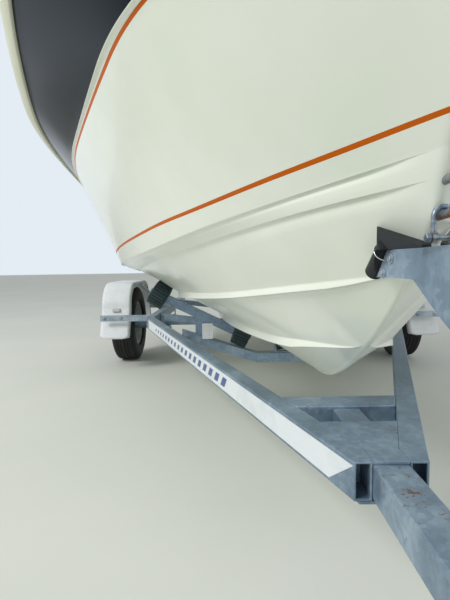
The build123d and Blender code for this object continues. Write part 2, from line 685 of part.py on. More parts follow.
def leaf_spring():
    """A pack of leaves bowed down under the axle, its eyes in hangers below the side rail."""
    y = FRAME_HALF - TUBE_WIDTH / 2
    y0, y1 = y - SPRING_WIDTH / 2, y + SPRING_WIDTH / 2
    top = TYRE_RADIUS - AXLE_TUBE / 2 - 1
    half = SPRING_LENGTH / 2
    radius = (half ** 2 + SPRING_SAG ** 2) / (2 * SPRING_SAG)
    pieces = None
    for i in range(LEAVES):
        reach = half * (1 - 0.24 * i)
        sag = radius - math.sqrt(radius ** 2 - reach ** 2)
        z = top - i * LEAF_THICK
        upper = ThreePointArc((WHEEL_X - reach, y0, z + sag), (WHEEL_X, y0, z),
                              (WHEEL_X + reach, y0, z + sag))
        lower = ThreePointArc((WHEEL_X - reach, y0, z - LEAF_THICK + sag), (WHEEL_X, y0, z - LEAF_THICK),
                              (WHEEL_X + reach, y0, z - LEAF_THICK + sag))
        ends = [Line(upper @ 0, lower @ 0), Line(upper @ 1, lower @ 1)]
        leaf = extrude(make_face([upper, lower] + ends), amount=SPRING_WIDTH, dir=(0, 1, 0))
        pieces = leaf if pieces is None else pieces + leaf
    rail_low = CHASSIS_TOP - TUBE_HEIGHT
    eye_z = top + SPRING_SAG
    for sign in (-1, 1):
        x = WHEEL_X + sign * half
        for ya, yb in ((y0 - 5, y0), (y1, y1 + 5)):
            pieces += block(x - 28, x + 28, ya, yb, eye_z - 30, rail_low)
        pieces += rod((x, y0 - 12, eye_z - LEAF_THICK / 2), (x, y1 + 12, eye_z - LEAF_THICK / 2), 9)
    low = top - LEAVES * LEAF_THICK
    clamp = block(WHEEL_X - 45, WHEEL_X + 45, y0 - 12, y1 + 12, low - 8, low)
    return pieces + clamp


def guard_profile(offset):
    """The guard's side outline as one half, front low corner to crown, moved in by an offset."""
    points = []
    corner = 190
    for i in range(7):
        angle = math.radians(15 * i)
        points.append((GUARD_HALF_LENGTH - 95 - corner + (corner - offset) * math.cos(angle),
                       GUARD_HEIGHT - corner + (corner - offset) * math.sin(angle)))
    return [(GUARD_HALF_LENGTH - offset, GUARD_BOTTOM)] + points


def guard():
    """A moulded arch over the wheel, with a short turned-down lip along its outer edge."""
    outer, inner = guard_profile(0), guard_profile(GUARD_THICK)
    ring = outer + [(-x, z) for x, z in reversed(outer)]
    hole = inner + [(-x, z) for x, z in reversed(inner)]
    sheet = xz_prism([(WHEEL_X + x, z) for x, z in ring], GUARD_INNER, GUARD_OUTER)
    sheet -= xz_prism([(WHEEL_X + x, z) for x, z in hole[:-1] + [(hole[-1][0], hole[-1][1])]],
                      GUARD_INNER - 1, GUARD_OUTER + 1)
    sheet -= block(WHEEL_X - GUARD_HALF_LENGTH + GUARD_THICK, WHEEL_X + GUARD_HALF_LENGTH - GUARD_THICK,
                   GUARD_INNER - 1, GUARD_OUTER + 1, GUARD_BOTTOM - 1, GUARD_BOTTOM + 1)
    lip = guard_profile(GUARD_THICK + 25)
    lip_hole = lip + [(-x, z) for x, z in reversed(lip)]
    rim_strip = xz_prism([(WHEEL_X + x, z) for x, z in ring], GUARD_OUTER - GUARD_THICK, GUARD_OUTER)
    rim_strip -= xz_prism([(WHEEL_X + x, z) for x, z in lip_hole], GUARD_OUTER - 2 * GUARD_THICK,
                          GUARD_OUTER + 1)
    rim_strip -= block(WHEEL_X - GUARD_HALF_LENGTH + GUARD_THICK + 25, WHEEL_X + GUARD_HALF_LENGTH
                       - GUARD_THICK - 25,
                       GUARD_OUTER - 2 * GUARD_THICK, GUARD_OUTER + 1, GUARD_BOTTOM - 1, GUARD_BOTTOM + 30)
    return sheet + rim_strip


def guard_brackets():
    """Flat bars from the side rail to the guard's two ends, and a stay from the rail to its crown."""
    low = CHASSIS_TOP - TUBE_HEIGHT / 2 - BRACKET_HEIGHT / 2
    front_x = WHEEL_X + GUARD_HALF_LENGTH
    bars = []
    for x0 in (front_x, 2 * WHEEL_X - front_x - BRACKET_THICK):
        bar = block(x0, x0 + BRACKET_THICK, FRAME_HALF, GUARD_OUTER - 15, low, low + BRACKET_HEIGHT)
        bar += block(x0 - 15, x0 + 20, FRAME_HALF, GUARD_INNER - 6, low, low + BRACKET_THICK)
        bars.append(bar)
    top = GUARD_HEIGHT - GUARD_THICK
    stay = yz_prism([(FRAME_HALF - 40, CHASSIS_TOP), (FRAME_HALF, CHASSIS_TOP), (GUARD_INNER - 6, top - 40),
                     (GUARD_INNER - 6, top - 6), (GUARD_OUTER - 60, top - 6), (GUARD_OUTER - 60, top),
                     (GUARD_INNER - 14, top), (GUARD_INNER - 14, top - 30)], WHEEL_X - 20, WHEEL_X + 20)
    return bars + [stay]


def guard_face(z):
    """How far before the wheel's centre the guard's outside is at a height."""
    rows = guard_profile(0)
    for (xa, za), (xb, zb) in zip(rows, rows[1:]):
        if za <= z <= zb:
            return xa + (xb - xa) * (z - za) / (zb - za)


def lamp(end, y0, y1, z0, z1, depth):
    """A lamp on the guard's front end (1) or back end (-1), and its mirror image."""
    near = [(WHEEL_X + end * (guard_face(z) + 0.3), z) for z in (z0, z1)]
    far = [(x + end * depth, z) for x, z in reversed(near)]
    body = xz_prism(near + far, y0, y1)
    return [body, starboard_of(body)]


def marker_lights():
    """The two clear lamps on the guards' front ends."""
    return lamp(1, GUARD_OUTER - 142, GUARD_OUTER - 84, 444, 465.5, 16)


def tail_lights():
    """The rear lamps on the guards' back ends."""
    return lamp(-1, GUARD_OUTER - 190, GUARD_OUTER - 30, 300, 380, 30)


def winch_post():
    """The raked post of folded plate: two cheeks, a top plate and a foot on the drawbar."""
    foot_z = CHASSIS_TOP - NOSE_PLATE_THICK
    cheek = [(169, ARM_LOW_Z), (204, ARM_TOP_Z), (330, 808), (430, 826), (560, 826), (640, 780),
             (720, foot_z),
             (540, foot_z), (300, 700), (237, 729)]
    post = xz_prism(cheek, -POST_HALF, -POST_HALF + POST_THICK) + xz_prism(cheek, POST_HALF - POST_THICK,
                                                                           POST_HALF)
    top = [(212, ARM_TOP_Z), (330, 808), (430, 826), (560, 826), (560, 826 - POST_THICK),
           (430, 826 - POST_THICK),
           (330, 808 - POST_THICK), (212, ARM_TOP_Z - POST_THICK)]
    post += xz_prism(top, -POST_HALF, POST_HALF)
    post += block(520, 740, -60, 60, foot_z, foot_z + 6)
    arm = stem_arm()
    return post + arm + starboard_of(arm)


def stem_arm():
    """The port cheek's flared arm, which reaches past the stem and ends on a slant."""
    ends = [(x, POST_HALF + ARM_FLARE * (ARM_BEND_X - x)) for x in (70, 215)]
    plan = ends + [(x, y - 4) for x, y in reversed(ends)]
    return xy_prism(plan, ARM_LOW_Z - 5, ARM_TOP_Z + 5) & xz_prism(ARM_SIDE, 0, 90)


def bow_snubber():
    """The port rubber pad: a sloping wing along the stem, resting on the arm, and a round foot at its end."""
    low = ARM_TOP_Z + 0.5
    wing = xy_prism([(146, 6), (79, 57.5), (104, 66), (155, 22)], low, low + 50)
    wing &= xz_prism([(60, low), (60, low + 44.5), (150, low + 5), (170, low + 5), (170, low)], 0, 90)
    foot = rod((113.5, 53, 813), (55, 53, 773.5), 14)
    foot -= xz_prism([(60.7, 750), (104.5, low), (200, low), (200, 750)], 0, 90)
    return wing + foot


def winch_frame():
    """The winch's two cheeks on its base plate."""
    base_z = 826.5
    frame = block(WINCH_X - 60, WINCH_X + 50, -34, 34, base_z, base_z + 4)
    cheek = [(WINCH_X - 60, base_z), (WINCH_X + 50, base_z), (WINCH_X + 40, WINCH_Z + 45),
             (WINCH_X - 35, WINCH_Z + 50)]
    for y0 in (-34, 30):
        frame += xz_prism(cheek, y0, y0 + 4)
    return frame - rod((WINCH_X, -50, WINCH_Z + 12), (WINCH_X, 50, WINCH_Z + 12), 9.5)


def winch_drum():
    """Drum, axle and crank of the winch, which turn as one."""
    z = WINCH_Z + 12
    profile = [(0, CRANK_Y - 8), (14, CRANK_Y - 8), (14, CRANK_Y + 8), (9, CRANK_Y + 8), (9, -27),
               (DRUM_RADIUS, -27),
               (DRUM_RADIUS, 27), (9, 27), (9, 48), (0, 48)]
    drum = turned(profile, (WINCH_X, 0, z), (0, 1, 0))
    arm = block(WINCH_X - 11, WINCH_X + 11, CRANK_Y - 5, CRANK_Y + 1, z, z + CRANK_LENGTH)
    grip = rod((WINCH_X, CRANK_Y - 5, z + CRANK_LENGTH), (WINCH_X, CRANK_Y - 110, z + CRANK_LENGTH), 15)
    return drum + arm + grip


def winch_strap():
    """The webbing from the drum to the bow eye, pulled tight, with its hook."""
    z = WINCH_Z + 12
    strap = xz_prism([(WINCH_X, z + DRUM_RADIUS + 0.3), (WINCH_X, z + DRUM_RADIUS + 3.3), (240, 870),
                      (240, 867)], -24, 24)
    hook = rod((241, 0, 868.5), (209, 0, 872), 6)
    return strap + hook


def coupling():
    """The pressed coupling head with its round socket for the tow ball, open below, and its sleeve."""
    top = CHASSIS_TOP - NOSE_PLATE_THICK
    low = top - 2 * DRAWBAR_HALF
    sleeve = block(DRAWBAR_FRONT_X, DRAWBAR_FRONT_X + 90, -36, 36, low, top + 4)
    neck = xz_prism([(DRAWBAR_FRONT_X + 90, low + 10), (DRAWBAR_FRONT_X + 90, top + 4),
                     (COUPLING_X, top - 5),
                     (COUPLING_X, low + 10)], -30, 30)
    head = Pos(COUPLING_X, 0, 0) * Cylinder(38, top - 5 - low + 12,
                                            align=(Align.CENTER, Align.CENTER, Align.MIN))
    head = Pos(0, 0, low - 12) * head
    body = sleeve + neck + head
    socket = Pos(COUPLING_X, 0, low - 12) * Cylinder(SOCKET_RADIUS, 44,
                                                     align=(Align.CENTER, Align.CENTER, Align.MIN))
    body -= socket
    handle = xz_prism([(COUPLING_X - 40, top - 6), (COUPLING_X - 120, top + 40),
                       (COUPLING_X - 190, top + 48),
                       (COUPLING_X - 190, top + 58), (COUPLING_X - 112, top + 52),
                       (COUPLING_X - 10, top - 6)], -14, 14)
    return body + handle


def jockey_tube():
    """The jockey wheel's outer tube in its clamp on the drawbar's side, with the winding handle on top."""
    tube = turned([(20.4, 365), (24, 365), (24, 640), (0, 640), (0, 634), (20.4, 634)],
                  (JOCKEY_X, JOCKEY_Y, 0), (0, 0, 1))
    clamp = block(JOCKEY_X - 30, JOCKEY_X + 30, DRAWBAR_HALF, JOCKEY_Y + 30, 372, 432)
    clamp -= rod((JOCKEY_X, JOCKEY_Y, 360), (JOCKEY_X, JOCKEY_Y, 450), 23.9)
    handle = rod((JOCKEY_X, JOCKEY_Y, 639), (JOCKEY_X, JOCKEY_Y, 670), 8)
    handle += rod((JOCKEY_X, JOCKEY_Y, 664), (JOCKEY_X + 110, JOCKEY_Y, 664), 6)
    handle += rod((JOCKEY_X + 104, JOCKEY_Y, 660), (JOCKEY_X + 104, JOCKEY_Y, 740), 10)
    return tube + clamp + handle


def jockey_stem():
    """The inner tube that the screw raises, with the pivot plate at its foot."""
    foot = 2 * JOCKEY_WHEEL_RADIUS + 30
    stem = rod((JOCKEY_X, JOCKEY_Y, foot), (JOCKEY_X, JOCKEY_Y, 480), 20)
    return stem + rod((JOCKEY_X, JOCKEY_Y, foot - 6), (JOCKEY_X, JOCKEY_Y, foot), 30)


def jockey_fork():
    """The castor fork that swivels under the stem and trails the wheel."""
    foot = 2 * JOCKEY_WHEEL_RADIUS + 30 - 6
    top = foot - 0.5
    x = JOCKEY_X - JOCKEY_TRAIL
    half = JOCKEY_WHEEL_WIDTH / 2 + MOVING_GAP
    fork = rod((JOCKEY_X, JOCKEY_Y, top - 6), (JOCKEY_X, JOCKEY_Y, top), 30)
    fork += block(x - 30, JOCKEY_X + 20, JOCKEY_Y - half - 5, JOCKEY_Y + half + 5, top - 10, top - 5)
    for y0 in (JOCKEY_Y - half - 5, JOCKEY_Y + half):
        fork += xz_prism([(x - 30, top - 5), (JOCKEY_X + 20, top - 5), (x + 18, JOCKEY_WHEEL_RADIUS - 15),
                          (x - 18, JOCKEY_WHEEL_RADIUS - 15)], y0, y0 + 5)
    fork += rod((x, JOCKEY_Y - half - 10, JOCKEY_WHEEL_RADIUS),
                (x, JOCKEY_Y + half + 10, JOCKEY_WHEEL_RADIUS), 8)
    return fork


def jockey_wheel():
    """A solid rubber wheel on a plastic centre."""
    h = JOCKEY_WHEEL_WIDTH / 2
    r = JOCKEY_WHEEL_RADIUS
    profile = [(8.3, -h - 4), (25, -h - 4), (25, -h + 8), (r - 25, -h + 8), (r - 18, -h), (r - 6, -h + 3),
               (r, -h + 12),
               (r, h - 12), (r - 6, h - 3), (r - 18, h), (r - 25, h - 8), (25, h - 8), (25, h + 4),
               (8.3, h + 4)]
    return turned(profile, (JOCKEY_X - JOCKEY_TRAIL, JOCKEY_Y, r), (0, 1, 0))


def outboard_clamp():
    """The clamp bracket: two side plates over the transom's sill, a bar between them and the tilt tube."""
    sill_x = transom_x(ENGINE_SILL_Z)
    back = Vector(sill_x, 0, ENGINE_SILL_Z) + AFT * TRANSOM_THICK
    slope = math.tan(math.radians(TRANSOM_RAKE))

    def rear_x(z):
        return back.X - (z - back.Z) * slope

    plate = [(rear_x(back.Z - 260) - 0.3, back.Z - 260), (rear_x(ENGINE_SILL_Z) - 0.3, ENGINE_SILL_Z + 0.5),
             (sill_x + 45, ENGINE_SILL_Z + 0.5), (sill_x + 45, ENGINE_SILL_Z + 15),
             (TILT_X + 28, TILT_Z - 10),
             (TILT_X + 20, TILT_Z + 20), (TILT_X, TILT_Z + 28), (TILT_X - 20, TILT_Z + 20),
             (TILT_X - 28, TILT_Z),
             (rear_x(back.Z - 260) - 40, back.Z - 260)]
    bracket = None
    for y0 in (-150, 120):
        piece = xz_prism(plate, y0, y0 + 30)
        bracket = piece if bracket is None else bracket + piece
    bracket += rod((TILT_X, -165, TILT_Z), (TILT_X, 165, TILT_Z), 14)
    return bracket


def tilted(shape):
    """The engine is drawn upright and stored tilted up about its tilt tube."""
    return Pos(TILT_X, 0, TILT_Z) * Rot(0, REST_TILT, 0) * Pos(-TILT_X, 0, -TILT_Z) * shape


def outboard_swivel():
    """The swivel bracket on the tilt tube, with the bore that the leg steers in."""
    body = block(TILT_X - 40, TILT_X + 26, -110, 110, TILT_Z - 26, TILT_Z + 26)
    body += block(STEER_X - 40, TILT_X - 20, -SWIVEL_HALF, SWIVEL_HALF, TILT_Z - 250, TILT_Z + 30)
    body -= rod((TILT_X, -200, TILT_Z), (TILT_X, 200, TILT_Z), 14.3)
    body -= rod((STEER_X, 0, TILT_Z - 300), (STEER_X, 0, TILT_Z + 60), 22.4)
    return tilted(body)


def outboard_leg():
    """Steering shaft, mid section, anti-ventilation plate, gear case and skeg."""
    top = TILT_Z + 120
    plate_z = TILT_Z - 555
    prop_z = TILT_Z - PROP_Z_BELOW_TILT
    x_mid = STEER_X - 150
    leg = rod((STEER_X, 0, TILT_Z - 270), (STEER_X, 0, TILT_Z + 50), 22)
    leg += block(x_mid - 40, STEER_X + 35, -45, 45, TILT_Z - 300, TILT_Z - 256)
    leg += block(x_mid - 40, STEER_X + 90, -90, 90, TILT_Z + 36, TILT_Z + 66)
    front = STEER_X - LEG_BEHIND_STEER
    column = [(front, TILT_Z + 40), (x_mid - 120, TILT_Z + 40), (x_mid - 70, plate_z), (front, plate_z)]
    leg += xz_prism(column, -45, 45)
    leg += block(x_mid - 240, x_mid + 190, -100, 100, plate_z - 8, plate_z)
    strut = [(x_mid + 80, plate_z), (x_mid - 60, plate_z), (x_mid - 40, prop_z), (x_mid + 70, prop_z)]
    leg += xz_prism(strut, -18, 18)
    case = turned([(0, 0), (30, 40), (44, 110), (46, 250), (38, 300), (0, 300)], (x_mid + 160, 0, prop_z),
                  (-1, 0, 0))
    leg += case
    leg += rod((x_mid - 100, 0, prop_z), (x_mid - 230, 0, prop_z), 10)
    skeg = [(x_mid + 60, prop_z - 20), (x_mid - 90, prop_z - 20), (x_mid - 110, prop_z - 185),
            (x_mid - 30, prop_z - 185)]
    leg += xz_prism(skeg, -5, 5)
    return tilted(leg)


def propeller():
    """Hub and three raked blades."""
    prop_z = TILT_Z - PROP_Z_BELOW_TILT
    x0 = STEER_X - 150 + 160 - 300 - 0.5
    hub_body = turned([(10.05, 0), (40, 0), (44, 60), (38, 120), (10.05, 120)], (x0, 0, prop_z), (-1, 0, 0))
    blade_shape = None
    for i in range(3):
        blade = Pos(x0 - 60, 0, prop_z) * Rot(120 * i, 0, 0) * Pos(0, 0, 98) * Rot(0, 0, 55) * Box(110, 6,
                                                                                                   130)
        blade_shape = blade if blade_shape is None else blade_shape + blade
    bore = rod((x0 + 10, 0, prop_z), (x0 - 130, 0, prop_z), 10.05)
    return tilted(hub_body + blade_shape - bore)


def outboard_cowl():
    """The engine cover: a hollow moulding that narrows towards its top."""
    low = TILT_Z + 66 + JOINT_GAP
    x_back, x_front = STEER_X - 470, STEER_X + 75

    def level(z, inset, wall):
        i = inset + wall
        half = 200 - i
        return Wire.make_polygon([(x_back + i, -half * 0.7, z), (x_back + i + 70, -half, z),
                                  (x_front - i - 60, -half, z),
                                  (x_front - i, -half * 0.7, z), (x_front - i, half * 0.7, z),
                                  (x_front - i - 60, half, z), (x_back + i + 70, half, z),
                                  (x_back + i, half * 0.7, z)])

    heights = ((low, 20), (low + 120, 0), (low + 380, 18), (low + 500, 70))
    outer = Solid.make_loft([level(z, i, 0) for z, i in heights], True)
    inner_heights = ((low - 1, 20), (low + 120, 0), (low + 380, 18), (low + 488, 70))
    inner = Solid.make_loft([level(z, i, 10) for z, i in inner_heights], True)
    return tilted(outer - inner)


def outboard_engine():
    """The power head as one plain block under the cowl."""
    low = TILT_Z + 66
    return tilted(block(STEER_X - 400, STEER_X - 5, -122, 122, low, low + 390))


def anchor_hatch():
    """The foredeck's hatch, a flat lid on a raised rim, with hinge knuckles along its aft edge."""
    lid = hatch_plate(0, HATCH_COAMING + 0.5, HATCH_COAMING + 0.5 + HATCH_THICK)
    x, z = hatch_axis()
    for y in (-120, 120):
        lid += rod((x, y - 20, z), (x, y + 20, z), HATCH_THICK / 2)
        lid += block(x, HATCH_X0 + 4, y - 20, y + 20, z - 3, z + 3)
    return lid


def hatch_axis():
    """The hatch's hinge line in side view."""
    return HATCH_X0 - HATCH_AXIS_BACK, deck_crown_at(HATCH_X0) + HATCH_COAMING + 0.5 + HATCH_THICK / 2


def seat(x, y):
    """A helm seat: pedestal, cushion and back."""
    base = turned([(0, SOLE_Z), (110, SOLE_Z), (110, SOLE_Z + 8), (35, SOLE_Z + 14), (35, SOLE_Z + 250),
                   (0, SOLE_Z + 250)],
                  (x, y, 0), (0, 0, 1))
    pan = block(x - 210, x + 230, y - 230, y + 230, SOLE_Z + 250, SOLE_Z + 370)
    back = xz_prism([(x - 210, SOLE_Z + 370), (x - 90, SOLE_Z + 370), (x - 150, SOLE_Z + 800),
                     (x - 240, SOLE_Z + 800)],
                    y - 220, y + 220)
    return base + pan + back


def rear_bench():
    front = COCKPIT_AFT_X + 480
    half = COCKPIT_HALF - 3
    bench = block(COCKPIT_AFT_X + 3, front, -half, half, SOLE_Z, SOLE_Z + 380)
    back = xz_prism([(COCKPIT_AFT_X + 3, SOLE_Z + 380), (COCKPIT_AFT_X + 120, SOLE_Z + 380),
                     (COCKPIT_AFT_X + 60, SOLE_Z + 640), (COCKPIT_AFT_X + 3, SOLE_Z + 640)], -half + 60,
                     half - 60)
    return bench + back


def helm_console():
    """The starboard console under the windscreen, from the sole to the dash, with the column's boss."""
    front = COCKPIT_FRONT_X - 6
    profile = [(front, SOLE_Z), (front - 180, SOLE_Z), (front - 180, SOLE_Z + 350),
               (front - 290, SOLE_Z + 460),
               (front - 240, SOLE_Z + 560), (front, SOLE_Z + 600)]
    console = xz_prism(profile, HELM_Y - 200, HELM_Y + 260)
    console += rod(along_column(-80), along_column(-27.5), 16)
    return console + rod(along_column(-30), along_column(-12), 9.95)


def along_column(distance):
    """A point on the steering column's line, measured from the wheel's centre towards the driver."""
    lean = math.radians(WHEEL_TILT)
    return (STEERING_X - distance * math.cos(lean), HELM_Y, STEERING_Z + distance * math.sin(lean))


def steering_wheel():
    """Rim, three spokes and hub, on a raked column."""
    axis = Vector(-math.cos(math.radians(WHEEL_TILT)), 0, math.sin(math.radians(WHEEL_TILT)))
    plane = Plane((STEERING_X, HELM_Y, STEERING_Z), x_dir=(0, 1, 0), z_dir=axis)
    wheel = Torus(165, 13)
    wheel += Pos(0, 0, -12) * Cylinder(32, 30)
    for i in range(3):
        wheel += Rot(0, 0, 120 * i + 90) * Pos(85, 0, -4) * Box(150, 22, 8)
    wheel -= Pos(0, 0, -19) * Cylinder(10, 18)
    return plane * wheel


def bow_rails():
    """A low stainless rail each side of the foredeck on short stanchions."""
    rails = []
    places = []
    for x, inset, height in ((-1100, 60, 0), (-950, 60, 160), (-500, 55, 190), (-50, 50, 200),
                             (380, 45, 190)):
        y, z = sheer_at(x)
        places.append((x, y - inset, z + DECK_THICK + height))
    rail = chain(places, 12)
    for x, y, z in places[1:]:
        foot = sheer_at(x)[1] + DECK_THICK - 8
        rail += rod((x, y, foot), (x, y, z), 10)
    rails = [rail, starboard_of(rail)]
    return rails


def windscreen_points():
    """Base and top corners of the screen, port side first: aft end, quarter, front."""
    base = []
    for x, y, lift in ((-2350, 960, 32.2), (-1620, 880, 37), (-1180, 480, 76.5)):
        base.append((x, y, sheer_at(x)[1] + DECK_THICK + lift))
    top = [(-2300, 900, base[0][2] + 200), (-1860, 790, base[1][2] + 370), (-1500, 420, base[2][2] + 370)]
    return base, top


def windscreen_frame():
    base, top = windscreen_points()
    frame = chain(base + across(base), 12)
    frame += chain(top + across(top), 10)
    for a, b in zip(base, top):
        frame += rod(a, b, 10)
        frame += rod((a[0], -a[1], a[2]), (b[0], -b[1], b[2]), 10)
    return frame


def windscreen_glass():
    """The panes between the posts, each a flat plate just clear of the frame."""
    base, top = windscreen_points()
    panes = []
    quads = []
    for i in range(2):
        quads.append((base[i], base[i + 1], top[i + 1], top[i]))
    mirror_quads = [tuple((x, -y, z) for x, y, z in q) for q in quads]
    front = (base[2], (base[2][0], -base[2][1], base[2][2]), (top[2][0], -top[2][1], top[2][2]), top[2])
    for quad in quads + mirror_quads + [front]:
        panes.append(pane(quad, 5))
    return panes


def inset_corner(before, corner, after, distance):
    """A corner of an outline moved inwards, so that both its edges move by the distance."""
    back, ahead = (before - corner).normalized(), (after - corner).normalized()
    return corner + (back + ahead) * (distance / math.sin(math.radians(back.get_angle(ahead))))


def pane(quad, thick):
    """A flat pane of four corners pulled in towards its middle, extruded to both sides."""
    a, b, c, d = [Vector(p) for p in quad]
    normal = (b - a).cross(d - a).normalized()
    flat = [p - normal * (p - a).dot(normal) for p in (a, b, c, d)]
    pulled = [inset_corner(flat[i - 1], flat[i], flat[(i + 1) % 4], PANE_INSET) for i in range(4)]
    start = [p - normal * (thick / 2) for p in pulled]
    return prism([tuple(p) for p in start], thick, tuple(normal))


def cleats():
    """Two horn cleats on the foredeck's sides and two by the motor well."""
    pieces = []
    for x, inset in ((-250, 90), (-4450, 90)):
        y, z = sheer_at(x)
        y, z = y - inset, z + DECK_THICK
        body = rod((x - 75, y, z + 42), (x + 75, y, z + 42), 9)
        for dx in (-28, 28):
            body += rod((x + dx, y, z - 8), (x + dx, y, z + 42), 8)
        pieces += [body, starboard_of(body)]
    return pieces


def bow_eye():
    """The towing eye on the stem: a welded U of round bar."""
    return chain([(160, 0, 892), (192, 0, 894), (202, 0, 872), (190, 0, 850), (138, 0, 848)], 6)


def bow_roller():
    """The anchor roller's cheeks and sheave over the bow."""
    x, _, z = hull_point("sheer", STATIONS - 1)
    deck_z = z + JOINT_GAP + DECK_THICK + 2.1
    cheeks = block(x - 160, x + 90, -36, -32, deck_z, deck_z + 45) + block(x - 160, x + 90, 32, 36, deck_z,
                                                                           deck_z + 45)
    cheeks += block(x - 160, x + 10, -36, 36, deck_z, deck_z + 4)
    cheeks += turned([(0, -32), (28, -32), (18, 0), (28, 32), (0, 32)], (x + 55, 0, deck_z + 24), (0, 1, 0))
    return cheeks


def build():
    """Every piece by name, as a shape or a list of solids that don't touch."""
    shell = hull_shell()
    deck_solid = deck()
    pieces = {
        "hull_shell": shell,
        "transom": transom(),
        "deck": deck_solid,
        "cockpit_liner": cockpit_liner(),
        "motor_well": motor_well(),
        "rub_rail": rub_rail(),
        "windscreen_frame": windscreen_frame(),
        "windscreen_glass": windscreen_glass(),
        "helm_console": helm_console(),
        "steering_wheel": steering_wheel(),
        "seats": [seat(-2450, HELM_Y), seat(-2450, -HELM_Y)],
        "rear_bench": rear_bench(),
        "bow_rails": [r - deck_solid for r in bow_rails()],
        "cleats": [c - deck_solid for c in cleats()],
        "bow_eye": bow_eye() - shell,
        "bow_roller": bow_roller() - deck_solid,
        "anchor_hatch": anchor_hatch(),
        "outboard_clamp": outboard_clamp(),
        "outboard_swivel": outboard_swivel(),
        "outboard_leg": outboard_leg(),
        "outboard_cowl": outboard_cowl(),
        "outboard_engine": outboard_engine(),
        "propeller": propeller(),
        "drawbar": drawbar(),
        "nose_plates": nose_plates(),
        "frame_side_port": frame_side(),
        "frame_side_starboard": starboard_of(frame_side()),
        "front_cross_member": front_cross_member(),
        "v_beams": [v_beam(V_BEAM_FRONT_X, FRONT_RISE), v_beam(V_BEAM_MID_X, REAR_RISE),
                    v_beam(V_BEAM_REAR_X, REAR_RISE)],
        "axle": axle(),
        "leaf_springs": [leaf_spring(), starboard_of(leaf_spring())],
        "marker_lights": marker_lights(),
        "tail_lights": tail_lights(),
        "winch_post": winch_post(),
        "bow_snubber": [bow_snubber(), starboard_of(bow_snubber())],
        "winch_frame": winch_frame(),
        "winch_drum": winch_drum(),
        "winch_strap": winch_strap(),
        "coupling": coupling(),
        "jockey_tube": jockey_tube(),
        "jockey_stem": jockey_stem(),
        "jockey_fork": jockey_fork(),
        "jockey_wheel": jockey_wheel(),
    }
    rollers, cradles = [], []
    for station, x, rise, y_in, y_out in CRADLES:
        body, pair = cradle(station, x, rise, y_in, y_out)
        cradles += [body, starboard_of(body)]
        rollers += pair + [starboard_of(r) for r in pair]
    keel_pairs = [keel_roller(V_BEAM_FRONT_X, SHOULDER_STATION), keel_roller(V_BEAM_REAR_X, AFT_STATION)]
    pieces["roller_cradles"] = cradles + [pair[1] for pair in keel_pairs]
    pieces["wobble_rollers"] = rollers
    pieces["keel_rollers"] = [pair[0] for pair in keel_pairs]
    brackets = guard_brackets()
    pieces["guard_brackets"] = brackets + [starboard_of(b) for b in brackets]
    pieces["guards"] = [guard(), starboard_of(guard())]
    for side, place in (("port", lambda s: s), ("starboard", starboard_of)):
        pieces["tyre_" + side] = place(tyre())
        pieces["rim_" + side] = place(rim())
        pieces["hub_" + side] = place(hub())
    return pieces


def solids_of(shape):
    parts = shape if isinstance(shape, list) else [shape]
    return [solid for part in parts for solid in part.solids()]


def main():
    os.makedirs("parts", exist_ok=True)
    pieces = {name: Compound(children=solids_of(shape)) for name, shape in build().items()}
    boxes = [shape.bounding_box() for shape in pieces.values()]
    shift = -(min(b.min.X for b in boxes) + max(b.max.X for b in boxes)) / 2
    for name, shape in pieces.items():
        export_step(Pos(shift, 0, 0) * shape, f"parts/{name}.step")
    print(f"row frame shift along X: {shift:.4f} mm")


main()
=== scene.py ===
"""A speedboat on its roller trailer, dressed for the picture.

The CAD frame gives the solids and their bodies. This file adds the smooth hull, its rail, the ribbed rollers, tyres,
guards, engine cover, propeller and cushions as worked-out surfaces, rounds the edges of the folded and welded steel,
and gives every piece a finish. Lengths are metres, +X points to the bow, +Y to port and +Z up.
"""

import json
import logging
import math
from collections.abc import Iterator
from contextlib import contextmanager
from dataclasses import dataclass, field
from enum import Enum

import bmesh
import bpy
import numpy as np
from mathutils import Matrix

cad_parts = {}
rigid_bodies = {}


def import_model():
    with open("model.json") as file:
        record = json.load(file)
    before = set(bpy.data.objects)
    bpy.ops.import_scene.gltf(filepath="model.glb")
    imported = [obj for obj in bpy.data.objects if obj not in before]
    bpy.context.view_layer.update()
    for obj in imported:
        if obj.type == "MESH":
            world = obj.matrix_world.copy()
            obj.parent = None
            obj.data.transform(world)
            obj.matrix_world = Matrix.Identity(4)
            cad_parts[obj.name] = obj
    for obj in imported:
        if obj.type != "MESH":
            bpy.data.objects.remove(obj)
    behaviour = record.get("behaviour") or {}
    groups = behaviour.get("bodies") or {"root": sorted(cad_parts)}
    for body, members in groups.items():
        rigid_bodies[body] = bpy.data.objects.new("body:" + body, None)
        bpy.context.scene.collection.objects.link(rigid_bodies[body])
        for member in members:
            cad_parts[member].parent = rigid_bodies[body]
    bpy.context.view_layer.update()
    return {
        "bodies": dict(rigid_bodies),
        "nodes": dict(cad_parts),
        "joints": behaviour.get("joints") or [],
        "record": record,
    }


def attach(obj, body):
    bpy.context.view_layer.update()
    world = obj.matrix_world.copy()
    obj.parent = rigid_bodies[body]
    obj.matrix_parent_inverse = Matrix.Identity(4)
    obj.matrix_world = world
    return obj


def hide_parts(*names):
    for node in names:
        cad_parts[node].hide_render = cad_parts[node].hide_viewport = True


LOG = logging.getLogger("boat")

# The drawing's x = 0 is the front of the trailer's nose; the frame's origin lies under the middle of the object.
NOSE_X = 2.1361862
ROOT = "boat_and_trailer"
# Mirrors a point across the centre plane.
FLIP = np.array([1, -1, 1])
# Added to a length before it divides, where two points can meet.
TINY = 1e-9

Array = np.ndarray
Mesh = tuple[Array, Array]
Socket = bpy.types.NodeSocket


# ---------------------------------------------------------------------------------------------------------------
# Numbers and meshes


